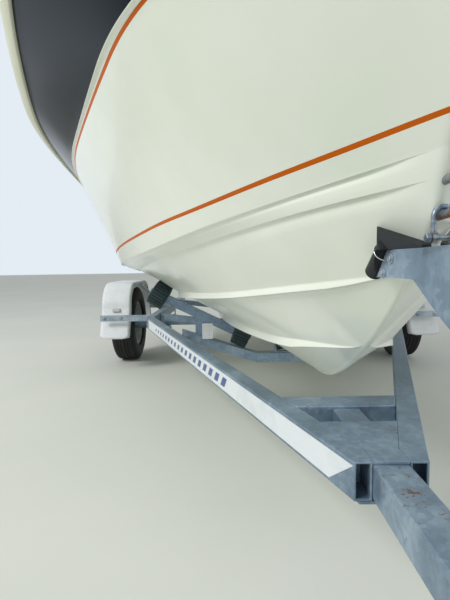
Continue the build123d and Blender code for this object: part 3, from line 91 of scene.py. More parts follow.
def linear(hex_colour: str) -> tuple[float, float, float, float]:
    """Turn an sRGB hex colour to a linear one with its alpha."""
    values = np.array([int(hex_colour[i:i + 2], 16) for i in (1, 3, 5)]) / 255
    values = np.where(values <= 0.04045, values / 12.92, ((values + 0.055) / 1.055) ** 2.4)
    return (float(values[0]), float(values[1]), float(values[2]), 1.0)


def per_metre(millimetres: float) -> float:
    """A texture scale whose features are about this many millimetres across."""
    return 1000.0 / millimetres


def natural_spline(points: Array, at: Array, knots: Array | None = None) -> Array:
    """Evaluate a natural cubic spline through points.

    Between two knots h apart, with second derivatives m0 and m1 that a tridiagonal system gives, the curve is
    a*p0 + b*p1 + ((a^3 - a)*m0 + (b^3 - b)*m1)*h^2/6, where b runs from 0 to 1 and a = 1 - b.

    Args:
        points: One row per knot.
        at: Parameters to evaluate at.
        knots: The knots' parameters, or 0, 1, 2 and so on.

    Returns:
        One row per parameter.
    """
    points = np.asarray(points, float)
    count = len(points)
    knots = np.arange(count, dtype=float) if knots is None else np.asarray(knots, float)
    h = np.diff(knots)
    system = np.eye(count)
    right = np.zeros_like(points)
    inner = np.arange(1, count - 1)
    system[inner, inner - 1] = h[:-1]
    system[inner, inner] = 2 * (h[:-1] + h[1:])
    system[inner, inner + 1] = h[1:]
    slopes = np.diff(points, axis=0) / h[:, None]
    right[1:-1] = 6 * (slopes[1:] - slopes[:-1])
    second = np.linalg.solve(system, right)
    i = np.clip(np.searchsorted(knots, at, side="right") - 1, 0, count - 2)
    b = ((at - knots[i]) / h[i])[:, None]
    a = 1 - b
    step = (h[i] ** 2)[:, None] / 6
    return a * points[i] + b * points[i + 1] + ((a**3 - a) * second[i] + (b**3 - b) * second[i + 1]) * step


def smoothstep(value: Array, low: float, high: float) -> Array:
    """Rise from 0 at low to 1 at high with level ends: t*t*(3 - 2*t)."""
    t = np.clip((value - low) / (high - low), 0, 1)
    return t * t * (3 - 2 * t)


def unit(rows: Array, least: float = 0.0) -> Array:
    """Vectors brought to length 1; least is added to each length so that none is 0."""
    return rows / (np.linalg.norm(rows, axis=-1, keepdims=True) + least)


def facing(rows: Array, goal: Array | tuple) -> Array:
    """The vectors, each turned round if it points away from its goal."""
    return rows * np.where((rows * np.asarray(goal)).sum(axis=-1, keepdims=True) < 0, -1, 1)


def look_up(table: tuple, x: Array) -> Array:
    """Read a table of places and values, with straight lines between its rows."""
    return np.interp(x, *np.array(table).T)


def signed_power(values: Array, power: float) -> Array:
    """The power of each size, with the value's own sign."""
    return np.sign(values) * np.abs(values) ** power


def arc(radius: float, degrees: float, count: int) -> Array:
    """Points on a circle about the origin, anticlockwise from the first axis."""
    t = np.radians(np.linspace(0, degrees, count))
    return radius * np.stack([np.cos(t), np.sin(t)], axis=-1)


def circle(radius: float, count: int) -> Array:
    """A round section, anticlockwise."""
    return arc(radius, 360, count + 1)[:-1]


def ring_profile(half: list[tuple[float, float]]) -> Array:
    """A ring's closed outline, as radius and distance along its axis, from the half ahead of its middle."""
    return np.array([*half, *((radius, -along) for radius, along in reversed(half) if along), half[0]])


def grid(points: Array, wrap_columns: bool = False) -> Mesh:
    """Join rows by columns of points with four-sided faces; with wrap_columns the last column joins the first."""
    rows, columns = points.shape[:2]
    index = np.arange(rows * columns).reshape(rows, columns)
    a, b = index[:-1], index[1:]
    if wrap_columns:
        faces = np.stack([a, b, np.roll(b, -1, axis=1), np.roll(a, -1, axis=1)], axis=-1)
    else:
        faces = np.stack([a[:, :-1], b[:, :-1], b[:, 1:], a[:, 1:]], axis=-1)
    return points.reshape(-1, 3), faces.reshape(-1, 4)


def together(meshes: list[Mesh]) -> Mesh:
    """Put several meshes into one list of vertices and faces."""
    starts = np.cumsum([0] + [len(v) for v, _ in meshes[:-1]])
    return np.concatenate([v for v, _ in meshes]), np.concatenate([f + s for (_, f), s in zip(meshes, starts)])


def mirrored(mesh: Mesh) -> Mesh:
    """The mirror image across the centre plane, with its faces turned back outwards."""
    return mesh[0] * FLIP, mesh[1][:, ::-1]


def turned(profile: Array, segments: int, origin: tuple, axis: tuple, ripple: Array | None = None) -> Mesh:
    """Turn a profile about an axis.

    A point at angle t is origin + axis*along + (e1*cos(t) + e2*sin(t))*radius.

    Args:
        profile: Rows of radius and distance along the axis. A closed outline gives a ring.
        segments: Steps around.
        origin: A point on the axis.
        axis: The axis direction.
        ripple: Amounts added to the radius, profile rows by segments.

    Returns:
        Vertices and faces.
    """
    axis_v = unit(np.asarray(axis, float))
    helper = np.array([0, 0, 1.0]) if abs(axis_v[2]) < 0.9 else np.array([1.0, 0, 0])
    e1 = unit(np.cross(helper, axis_v))
    around = circle(1.0, segments)
    radius = profile[:, :1] + (ripple if ripple is not None else np.zeros((len(profile), segments)))
    ring = around[None, :, :1] * e1 + around[None, :, 1:] * np.cross(axis_v, e1)
    points = np.asarray(origin, float) + ring * radius[..., None] + (profile[:, 1, None] * axis_v)[:, None, :]
    vertices, faces = grid(points, wrap_columns=True)
    return vertices, faces[:, ::-1]


def swept(path: Array, outline: Array, side: Array | tuple, up: Array | tuple) -> Mesh:
    """Carry a flat closed outline along a path: a point is path + side*across + up*high.

    Args:
        path: Points along the way.
        outline: Rows of sideways and upward offsets.
        side: The sideways direction, one for all or one at each path point.
        up: The upward direction, likewise.

    Returns:
        Vertices and faces, with both ends closed.
    """
    side, up = (np.broadcast_to(direction, path.shape)[:, None] for direction in (side, up))
    return closed_sweep(path[:, None] + side * outline[None, :, :1] + up * outline[None, :, 1:])


def closed_sweep(points: Array) -> Mesh:
    """A tube from sections, steps by corners by 3, with a fan over each end."""
    vertices, faces = grid(points, wrap_columns=True)
    steps, count = points.shape[:2]
    around = np.arange(count)
    nxt = np.roll(around, -1)
    hubs = np.stack([points[0].mean(axis=0), points[-1].mean(axis=0)])
    first = np.full(count, len(vertices))
    start = (steps - 1) * count
    caps = [np.stack([first, around, nxt, nxt], axis=-1),
            np.stack([first + 1, start + nxt, start + around, start + around], axis=-1)]
    return np.vstack([vertices, hubs]), np.concatenate([faces] + caps)


def stand(name: str, data: bpy.types.ID) -> bpy.types.Object:
    """Put an object with this data into the scene."""
    made = bpy.data.objects.new(name, data)
    bpy.context.scene.collection.objects.link(made)
    return made


def enrol(made: bpy.types.Object, body: str, stands_for: str | None) -> None:
    """Give an object its body and the CAD node it stands for, if any."""
    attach(made, body)
    if stands_for:
        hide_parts(stands_for)
    LOG.info("%s: %d faces", made.name, len(made.data.polygons))


def piece(name: str, mesh: Mesh, finish: "Finish", stands_for: str | None = None, body: str = ROOT,
          sharp: float = 35.0) -> bpy.types.Object:
    """Make an object from vertices and faces, and let it ride on a body.

    Args:
        name: The piece's name.
        mesh: Vertices in the drawing's place, and faces.
        finish: Its finish.
        stands_for: The CAD node it replaces, if any.
        body: The CAD body it moves with.
        sharp: Edges that turn more than this many degrees stay crisp.

    Returns:
        The object, at the origin, unturned and unscaled.
    """
    vertices, faces = mesh
    data = bpy.data.meshes.new(name)
    data.from_pydata((vertices + np.array([NOSE_X, 0, 0])).tolist(), [], corners(faces))
    tidy(data)
    data.materials.append(finish.material())
    shade(data, sharp)
    made = stand(name, data)
    enrol(made, body, stands_for)
    return made


def corners(faces: Array) -> list:
    """Faces as lists of corners; a four-sided face with a doubled corner becomes three-sided."""
    return [list(dict.fromkeys(face)) for face in faces.tolist()]


@contextmanager
def editing(data: bpy.types.Mesh) -> Iterator[bmesh.types.BMesh]:
    """Open a mesh for editing, and write it back afterwards."""
    work = bmesh.new()
    work.from_mesh(data)
    yield work
    work.to_mesh(data)
    work.free()


def tidy(data: bpy.types.Mesh, distance: float = 1e-5) -> None:
    """Merge doubled vertices, drop faces with no area and turn all faces outwards."""
    with editing(data) as work:
        bmesh.ops.remove_doubles(work, verts=work.verts, dist=distance)
        bmesh.ops.dissolve_degenerate(work, edges=work.edges, dist=distance / 2)
        bmesh.ops.recalc_face_normals(work, faces=work.faces)


def shade(data: bpy.types.Mesh, sharp: float) -> None:
    """Shade smooth, with crisp edges where the surface turns more than an angle."""
    data.polygons.foreach_set("use_smooth", np.ones(len(data.polygons), dtype=bool))
    data.set_sharp_from_angle(angle=math.radians(sharp))


# ---------------------------------------------------------------------------------------------------------------
# Finishes


def add_node(tree: bpy.types.NodeTree, kind: str, links: dict | None = None, **settings) -> bpy.types.Node:
    """Add a node with its settings, numbers and links.

    Args:
        tree: The material's node tree.
        kind: The node's type name.
        links: Input name or number to a number, a colour or another node's output.
        **settings: The node's own settings; stops gives a colour ramp's places and colours.

    Returns:
        The node.
    """
    made = tree.nodes.new(kind)
    for key, value in settings.items():
        if key == "stops":
            ramp = made.color_ramp
            while len(ramp.elements) < len(value):
                ramp.elements.new(1.0)
            for element, (place, colour) in zip(ramp.elements, value):
                element.position = place
                element.color = colour
        else:
            setattr(made, key, value)
    for key, value in (links or {}).items():
        if isinstance(value, Socket):
            tree.links.new(value, made.inputs[key])
        else:
            made.inputs[key].default_value = value
    return made


@dataclass(frozen=True)
class Pattern:
    """One material's tree and shader, and the patterns that a finish draws on them. Sizes are in millimetres."""

    tree: bpy.types.NodeTree
    shader: bpy.types.Node
    place: Socket

    def noise(self, size: float, detail: float, roughness: float = 0.5, place: Socket | None = None) -> Socket:
        """Cloudy noise with features of about this size."""
        return add_node(self.tree, "ShaderNodeTexNoise", {
            "Vector": self.place if place is None else place, "Scale": per_metre(size), "Detail": detail,
            "Roughness": roughness}).outputs["Fac"]

    def cells(self, size: float, output: str = "Distance", randomness: float = 1.0, **settings) -> Socket:
        """Cells of about this size."""
        return add_node(self.tree, "ShaderNodeTexVoronoi", {
            "Vector": self.place, "Scale": per_metre(size), "Randomness": randomness}, **settings).outputs[output]

    def ramp(self, value: Socket, *stops: tuple[float, str]) -> Socket:
        """A colour that follows a value through stops of place and hex colour."""
        return add_node(self.tree, "ShaderNodeValToRGB", {"Fac": value},
                        stops=[(place, linear(colour)) for place, colour in stops]).outputs["Color"]

    def spread(self, value: Socket, low: float, high: float, to_low: float = 0.0, to_high: float = 1.0) -> Socket:
        """Carry a value's range from low to high over to another range."""
        return add_node(self.tree, "ShaderNodeMapRange", {
            "Value": value, "From Min": low, "From Max": high, "To Min": to_low, "To Max": to_high}).outputs["Result"]

    def combine(self, operation: str, *values: Socket | float) -> Socket:
        """A sum, product or the like of values."""
        return add_node(self.tree, "ShaderNodeMath", dict(enumerate(values)), operation=operation).outputs[0]

    def feed(self, name: str, value: Socket) -> None:
        """Join a value to one of the shader's inputs."""
        self.tree.links.new(value, self.shader.inputs[name])

    def relief(self, height: Socket, strength: float, distance: float) -> None:
        """Let a height show as a bump of this many metres."""
        bump = add_node(self.tree, "ShaderNodeBump", {"Height": height, "Strength": strength, "Distance": distance})
        self.feed("Normal", bump.outputs["Normal"])


@dataclass(frozen=True)
class Finish:
    """A finish and what all of them share: a shader, its constant numbers and a bump."""

    name: str
    colour: str
    roughness: float = 0.4
    metallic: float = 0.0
    ior: float = 1.5
    coat: float = 0.0
    specular: float = 0.5

    def material(self) -> bpy.types.Material:
        """The material, made once and then shared."""
        found = bpy.data.materials.get(self.name)
        if found is not None:
            return found
        made = bpy.data.materials.new(self.name)
        made.use_nodes = True
        tree = made.node_tree
        tree.nodes.clear()
        shader = add_node(tree, "ShaderNodeBsdfPrincipled", {
            "Base Color": linear(self.colour), "Roughness": self.roughness, "Metallic": self.metallic,
            "Coat Weight": self.coat, "Coat Roughness": 0.05, "Specular IOR Level": self.specular})
        if self.metallic < 0.5:
            shader.inputs["IOR"].default_value = self.ior
        self.dress(Pattern(tree, shader, add_node(tree, "ShaderNodeTexCoord").outputs["Object"]))
        add_node(tree, "ShaderNodeOutputMaterial", {"Surface": shader.outputs["BSDF"]})
        made.diffuse_color = linear(self.colour)
        return made

    def dress(self, pattern: Pattern) -> None:
        """Add the finish's own patterns to its shader."""
        raise NotImplementedError


@dataclass(frozen=True)
class Gelcoat(Finish):
    """Polyester gel coat from a polished mould: glossy, nearly even, with faint chalking and a slight ripple."""

    shade_colour: str = "#DADFD2"
    patch_mm: float = 420.0
    ripple_mm: float = 60.0
    ripple: float = 0.02

    def dress(self, pattern: Pattern) -> None:
        """Patches of faint chalking, dull where chalked, and the mould's slow ripple."""
        patches = pattern.noise(self.patch_mm, 4.0, 0.55)
        pattern.feed("Base Color", pattern.ramp(patches, (0.32, self.shade_colour), (0.62, self.colour)))
        pattern.feed("Roughness", pattern.spread(patches, 0.3, 0.7, self.roughness + 0.10, self.roughness))
        pattern.relief(pattern.noise(self.ripple_mm, 1.0), self.ripple, 0.01)


@dataclass(frozen=True)
class Galvanised(Finish):
    """Hot-dip zinc on mild steel, weathered: dull grey with spangles, pale bloom, stains and specks of rust. The blue
    in its default bloom and stain is a painted reflection of the sky.
    """

    bloom: str = "#A3B3C0"
    stain: str = "#66798A"
    rust: str = "#71533F"
    spangle_mm: float = 11.0
    cloud_mm: float = 160.0
    coarse_mm: float = 70.0
    fine_mm: float = 9.0
    rust_level: float = 0.74
    rust_at: tuple = ()

    def dress(self, pattern: Pattern) -> None:
        """Crystal spangles over slow cloudy bloom, then rust where a fine and a coarse noise both peak.

        Each place in rust_at, given as x, y, z and a radius, raises the rust round it.
        """
        cell = add_node(pattern.tree, "ShaderNodeSeparateColor", {"Color": pattern.cells(self.spangle_mm, "Color")})
        fine = pattern.noise(self.fine_mm, 4.0, 0.7)
        tone = pattern.combine("ADD", pattern.combine("MULTIPLY", cell.outputs["Red"], 0.13),
                               pattern.noise(self.cloud_mm, 6.0, 0.6))
        zinc = pattern.ramp(tone, (0.40, self.stain), (0.60, self.colour), (0.82, self.bloom))
        spots = pattern.combine("MULTIPLY", pattern.noise(self.coarse_mm, 2.0), fine)
        for x, y, z, radius in self.rust_at:
            away = add_node(pattern.tree, "ShaderNodeVectorMath", {0: pattern.place, 1: (x, y, z)},
                            operation="DISTANCE")
            near = pattern.spread(away.outputs["Value"], 0.2 * radius, radius, 0.10, 0.0)
            spots = pattern.combine("ADD", spots, near)
        mixed = add_node(pattern.tree, "ShaderNodeMix", {
            "Factor": pattern.spread(spots, self.rust_level * 0.52, self.rust_level * 0.64), "A": zinc,
            "B": linear(self.rust)}, data_type="RGBA")
        pattern.feed("Base Color", mixed.outputs["Result"])
        pattern.feed("Roughness", pattern.spread(tone, 0.35, 0.85, self.roughness - 0.12, self.roughness + 0.14))
        pattern.relief(fine, 0.25, 0.001)


@dataclass(frozen=True)
class Steel(Finish):
    """Polished or brushed stainless: bright, with fine drawn lines and slight smears."""

    smear: str = "#BDBFC0"
    smear_mm: float = 35.0
    line_mm: float = 1.2
    stretch: float = 14.0

    def dress(self, pattern: Pattern) -> None:
        """Smears change colour and roughness; stretched noise gives the drawn lines."""
        smears = pattern.noise(self.smear_mm, 3.0)
        pattern.feed("Base Color", pattern.ramp(smears, (0.35, self.smear), (0.65, self.colour)))
        pattern.feed("Roughness", pattern.spread(smears, 0.3, 0.7, self.roughness + 0.12, self.roughness))
        stretched = add_node(pattern.tree, "ShaderNodeMapping", {
            "Vector": pattern.place, "Scale": (1.0, self.stretch, self.stretch)}).outputs["Vector"]
        pattern.relief(pattern.noise(self.line_mm * self.stretch, 2.0, place=stretched), 0.06, 0.0005)


@dataclass(frozen=True)
class Rubber(Finish):
    """Moulded rubber: dull, dusty in its low places, with a fine grain."""

    dust: str = "#3A3A38"
    grain_mm: float = 2.0
    patch_mm: float = 60.0

    def dress(self, pattern: Pattern) -> None:
        """Dust in slow patches and a fine moulded grain."""
        patches = pattern.noise(self.patch_mm, 6.0, 0.65)
        pattern.feed("Base Color", pattern.ramp(patches, (0.42, self.colour), (0.78, self.dust)))
        pattern.feed("Roughness", pattern.spread(patches, 0.3, 0.8, self.roughness - 0.08, self.roughness + 0.2))
        pattern.relief(pattern.noise(self.grain_mm, 2.0), 0.3, 0.0006)


@dataclass(frozen=True)
class Stippled(Finish):
    """Rotary-moulded polyethylene: an even pale grey with a stippled skin and road dirt in its pits."""

    dirt: str = "#8F9496"
    stipple_mm: float = 3.0
    spray_mm: float = 110.0

    def dress(self, pattern: Pattern) -> None:
        """Stipple from small cells, darker in the pits and where road spray has dried."""
        cells = pattern.cells(self.stipple_mm, feature="SMOOTH_F1")
        mixed = pattern.combine("MULTIPLY_ADD", cells, pattern.noise(self.spray_mm, 7.0, 0.7), 0.22)
        pattern.feed("Base Color", pattern.ramp(mixed, (0.22, self.colour), (0.72, self.dirt)))
        pattern.relief(cells, 0.45, 0.001)


@dataclass(frozen=True)
class Tape(Finish):
    """Printed or coloured vinyl tape: satin, with slight fading and lifted specks."""

    faded: str = "#D98A3C"
    fading_mm: float = 90.0

    def dress(self, pattern: Pattern) -> None:
        """Fading in slow patches, with a faint bump from the same patches."""
        fading = pattern.noise(self.fading_mm, 5.0, 0.6)
        pattern.feed("Base Color", pattern.ramp(fading, (0.5, self.colour), (0.85, self.faded)))
        pattern.relief(fading, 0.03, 0.001)


@dataclass(frozen=True)
class Vinyl(Finish):
    """Marine upholstery vinyl on a knitted back: pebbled grain, satin, a little darker in the creases."""

    crease: str = "#CDC9BB"
    pebble_mm: float = 1.6
    soil_mm: float = 130.0

    def dress(self, pattern: Pattern) -> None:
        """Pebbles from small cells and slow soiling."""
        soil = pattern.noise(self.soil_mm, 5.0)
        pattern.feed("Base Color", pattern.ramp(soil, (0.35, self.crease), (0.6, self.colour)))
        pattern.relief(pattern.cells(self.pebble_mm, feature="F1"), 0.35, 0.0008)


@dataclass(frozen=True)
class Webbing(Finish):
    """Woven polyester webbing: threads of about 1 mm, drawn at 2.5 mm so that they show."""

    thread: str = "#6A6E75"
    thread_mm: float = 2.5

    def dress(self, pattern: Pattern) -> None:
        """Two crossed sets of bands give the weave."""
        bands = [add_node(pattern.tree, "ShaderNodeTexWave", {
            "Vector": pattern.place, "Scale": per_metre(self.thread_mm * 2 * math.pi)},
            bands_direction=direction).outputs["Fac"] for direction in "XY"]
        weave = pattern.combine("MULTIPLY", *bands)
        pattern.feed("Base Color", pattern.ramp(weave, (0.1, self.colour), (0.7, self.thread)))
        pattern.relief(weave, 0.5, 0.001)


@dataclass(frozen=True)
class Lens(Finish):
    """A moulded acrylic lens: clear colour over small prisms."""

    deep: str = "#5A0805"
    prism_mm: float = 4.0

    def dress(self, pattern: Pattern) -> None:
        """Prisms as small cells, dark between them."""
        prisms = pattern.cells(self.prism_mm, randomness=0.0, distance="CHEBYCHEV")
        pattern.feed("Base Color", pattern.ramp(prisms, (0.2, self.colour), (0.6, self.deep)))
        pattern.relief(prisms, 0.4, 0.001)


@dataclass(frozen=True)
class Screen(Finish):
    """Smoke-tinted acrylic sheet, clear and glossy, with a trace of salt bloom."""

    bloom: str = "#8C9699"
    salt_mm: float = 45.0
    clear: float = 0.92

    def dress(self, pattern: Pattern) -> None:
        """Clear, and a little duller where salt has dried."""
        pattern.shader.inputs["Transmission Weight"].default_value = self.clear
        salt = pattern.noise(self.salt_mm, 6.0)
        pattern.feed("Base Color", pattern.ramp(salt, (0.55, self.colour), (0.9, self.bloom)))
        pattern.feed("Roughness", pattern.spread(salt, 0.4, 0.8, self.roughness, self.roughness + 0.15))


@dataclass(frozen=True)
class Paint(Finish):
    """Sprayed enamel on cast or pressed metal: fine orange peel, small chips and oily dust."""

    dust: str = "#4A4D50"
    patch_mm: float = 80.0
    peel_mm: float = 3.0

    def dress(self, pattern: Pattern) -> None:
        """Dust in slow patches and the fine peel of sprayed paint."""
        patches = pattern.noise(self.patch_mm, 6.0, 0.6)
        pattern.feed("Base Color", pattern.ramp(patches, (0.45, self.colour), (0.8, self.dust)))
        pattern.feed("Roughness", pattern.spread(patches, 0.3, 0.8, self.roughness, self.roughness + 0.2))
        pattern.relief(pattern.noise(self.peel_mm, 1.0), 0.05, 0.001)


GELCOAT = Gelcoat("white_gelcoat", "#ECEFE4", roughness=0.16, coat=0.25, shade_colour="#E2E7D8")
PANEL = Gelcoat("dark_gelcoat", "#08121B", roughness=0.09, specular=0.09, shade_colour="#0A1620", ripple=0.003)
STRIPE = Tape("orange_pinstripe_tape", "#C45C00", roughness=0.4, specular=0.12, faded="#CA6A10")
RAIL = Gelcoat("pale_rail_vinyl", "#DDDDC9", roughness=0.35, shade_colour="#D2D2BC")
# The zinc's blue-grey is darker and bluer than bare zinc: painted shade from the hull above and a painted reflection of
# the blue sky. The worn and rust-patched zinc below share it.
ZINC_PAINTED_SHADE = Galvanised("galvanised_steel", "#7F93A5", roughness=0.42, metallic=0.5)
WORN_ZINC = Galvanised("galvanised_steel_rusted", "#7F93A5", roughness=0.42, metallic=0.5, rust_level=0.63)
DRAWBAR_ZINC = Galvanised("galvanised_steel_rust_patched", "#7F93A5", roughness=0.42, metallic=0.5, rust_level=0.63,
                          rust_at=((NOSE_X + 0.078, -0.006, 0.44, 0.050), (NOSE_X + 0.290, -0.045, 0.44, 0.060)))
STAINLESS = Steel("polished_stainless", "#C9CBCC", roughness=0.14, metallic=1.0)
PROPELLER = Steel("brushed_propeller_steel", "#B9BABB", roughness=0.28, metallic=1.0)
RUSTY_ZINC = Galvanised("galvanised_steel_rust_bloomed", "#8C8F8E", roughness=0.55, metallic=0.4,
                        rust="#8A5A33", rust_level=0.42)
# The guard brackets' zinc is the same zinc made paler and less blue: painted sunlight on parts that stand in the sun.
ZINC_PAINTED_SUNLIGHT = Galvanised("galvanised_steel_bright", "#A4B0B9", roughness=0.40, metallic=0.35, bloom="#BCC6CC",
                         stain="#8C9AA5", rust_level=0.80)
BOLT_ZINC = Galvanised("zinc_plated_bolts", "#9BA1A6", roughness=0.38, metallic=0.7, spangle_mm=4.0)
TEAL = Rubber("dark_teal_rubber", "#12282B", roughness=0.5, dust="#2C4345")
TYRE = Rubber("tyre_rubber", "#111112", roughness=0.62, dust="#262523")
BLACK_RUBBER = Rubber("black_rubber", "#131415", roughness=0.42, dust="#2A2B2C")
SNUBBER_RUBBER = Rubber("snubber_rubber", "#080D10", roughness=0.5, dust="#121A1F")
GUARD = Stippled("pale_grey_polyethylene", "#EAEDEE", roughness=0.5, dirt="#BCC1C2")
STRIP = Tape("white_vinyl_strip", "#DDE2E4", roughness=0.3, faded="#C6CDD0")
DASH = Tape("blue_vinyl_dashes", "#2F4F86", roughness=0.3, faded="#43619A")
CUSHION = Vinyl("marine_vinyl", "#DAD6C8", roughness=0.5)
PIPING = Vinyl("marine_vinyl_piping", "#3A4148", roughness=0.5, crease="#2B3137")
STRAP = Webbing("grey_webbing", "#4A4E55", roughness=0.8)
RED_LENS = Lens("red_lens", "#A5130C", roughness=0.12, deep="#4E0704")
CLEAR_LENS = Lens("clear_lens", "#D6D5CB", roughness=0.12, deep="#8D8C84")
GLASS = Screen("smoked_acrylic", "#7E898C", roughness=0.02, ior=1.49)
ENGINE_PAINT = Paint("dark_grey_enamel", "#2E3235", roughness=0.32, coat=0.3)
COWL_PAINT = Gelcoat("gloss_black_cover", "#101214", roughness=0.1, coat=0.5, shade_colour="#14171A")
RIM_PAINT = Paint("silver_rim_enamel", "#B4B8BB", roughness=0.35, metallic=0.55, dust="#6D6F6E")
BLACK_PLASTIC = Paint("black_moulded_plastic", "#1B1C1E", roughness=0.4, dust="#343537")


# ---------------------------------------------------------------------------------------------------------------
# Camera, floor and light


@dataclass
class Studio:
    """The photograph's viewpoint, a pale floor and plain soft light."""

    eye: tuple[float, float, float] = (0.7476, -0.2789, 0.79)
    yaw: float = 0.0121
    pitch: float = 0.0823
    roll: float = -0.0159
    focal_px: float = 440.0
    picture_px: tuple[int, int] = (450, 600)
    sensor_mm: float = 24.0
    floor_half: float = 40.0
    lamps: tuple = (("key", (4.5, -6.5, 6.0), (0.5, 0.0, 0.8), 3.0, 470.0),
                    ("fill", (5.5, 5.5, 3.5), (0.5, 0.0, 0.7), 5.0, 120.0))

    def camera(self) -> None:
        """Set the camera from its yaw, pitch down and roll, looking aft."""
        cy, sy = math.cos(self.yaw), math.sin(self.yaw)
        cp, sp = math.cos(self.pitch), math.sin(self.pitch)
        forward = np.array([-cy * cp, -sy * cp, -sp])
        right = unit(np.cross(forward, [0, 0, 1]))
        up = np.cross(right, forward)
        cr, sr = math.cos(self.roll), math.sin(self.roll)
        right, up = cr * right + sr * up, -sr * right + cr * up
        data = bpy.data.cameras.new("photo_camera")
        data.sensor_fit = "VERTICAL"
        data.sensor_height = self.sensor_mm
        data.lens = self.sensor_mm * self.focal_px / self.picture_px[1]
        data.clip_start = 0.02
        data.clip_end = 200.0
        made = stand("photo_camera", data)
        made.matrix_world = placed(np.array(self.eye) + [NOSE_X, 0, 0], right, up, -forward)
        bpy.context.scene.camera = made

    def floor(self) -> None:
        """A plain pale floor, gently mottled."""
        line = np.linspace(-self.floor_half, self.floor_half, 5)
        x, y = np.meshgrid(line, line, indexing="ij")
        vertices, faces = grid(np.stack([x, y, np.zeros_like(x)], axis=-1))
        data = bpy.data.meshes.new("floor")
        data.from_pydata(vertices.tolist(), [], faces.tolist())
        material = bpy.data.materials.new("studio_floor")
        material.use_nodes = True
        tree = material.node_tree
        tree.nodes.clear()
        place = add_node(tree, "ShaderNodeTexCoord").outputs["Object"]
        cloud = add_node(tree, "ShaderNodeTexNoise", {"Vector": place, "Scale": 0.8, "Detail": 3.0})
        tone = add_node(tree, "ShaderNodeValToRGB", {"Fac": cloud.outputs["Fac"]},
                        stops=[(0.3, linear("#D3D6CC")), (0.7, linear("#DADCD3"))])
        shader = add_node(tree, "ShaderNodeBsdfPrincipled", {"Base Color": tone.outputs["Color"], "Roughness": 0.9})
        add_node(tree, "ShaderNodeOutputMaterial", {"Surface": shader.outputs["BSDF"]})
        data.materials.append(material)
        stand("floor", data)

    def light(self) -> None:
        """Soft sky all round, a broad key lamp high on the starboard bow and a weak fill to port."""
        world = bpy.data.worlds.new("studio")
        bpy.context.scene.world = world
        world.use_nodes = True
        tree = world.node_tree
        tree.nodes.clear()
        ray = add_node(tree, "ShaderNodeLightPath")
        seen = add_node(tree, "ShaderNodeMath", {
            0: ray.outputs["Is Camera Ray"], 1: ray.outputs["Is Glossy Ray"]}, operation="MAXIMUM")
        seen = add_node(tree, "ShaderNodeMath", {
            0: seen.outputs[0], 1: ray.outputs["Is Transmission Ray"]}, operation="MAXIMUM")
        soft = add_node(tree, "ShaderNodeBackground", {"Color": linear("#F2F5FA"), "Strength": 0.62})
        plain = add_node(tree, "ShaderNodeBackground", {"Color": linear("#E4ECF4"), "Strength": 1.0})
        mixed = add_node(tree, "ShaderNodeMixShader", {
            0: seen.outputs[0], 1: soft.outputs[0], 2: plain.outputs[0]})
        add_node(tree, "ShaderNodeOutputWorld", {"Surface": mixed.outputs[0]})
        for name, place, target, size, power in self.lamps:
            data = bpy.data.lights.new(name, "AREA")
            data.energy = power
            data.size = size
            z_dir = unit(np.array(place) - np.array(target))
            x_dir = unit(np.cross([0, 0, 1], z_dir))
            stand(name, data).matrix_world = placed(np.array(place), x_dir, np.cross(z_dir, x_dir), z_dir)
        bpy.context.scene.view_settings.view_transform = "Standard"


def placed(place: Array, x_dir: Array, y_dir: Array, z_dir: Array) -> Matrix:
    """A matrix that stands an object at a place with its axes along three directions."""
    values = np.eye(4)
    values[:3] = np.stack([x_dir, y_dir, z_dir, place], axis=-1)
    return Matrix(values.tolist())


# ---------------------------------------------------------------------------------------------------------------
# Hull


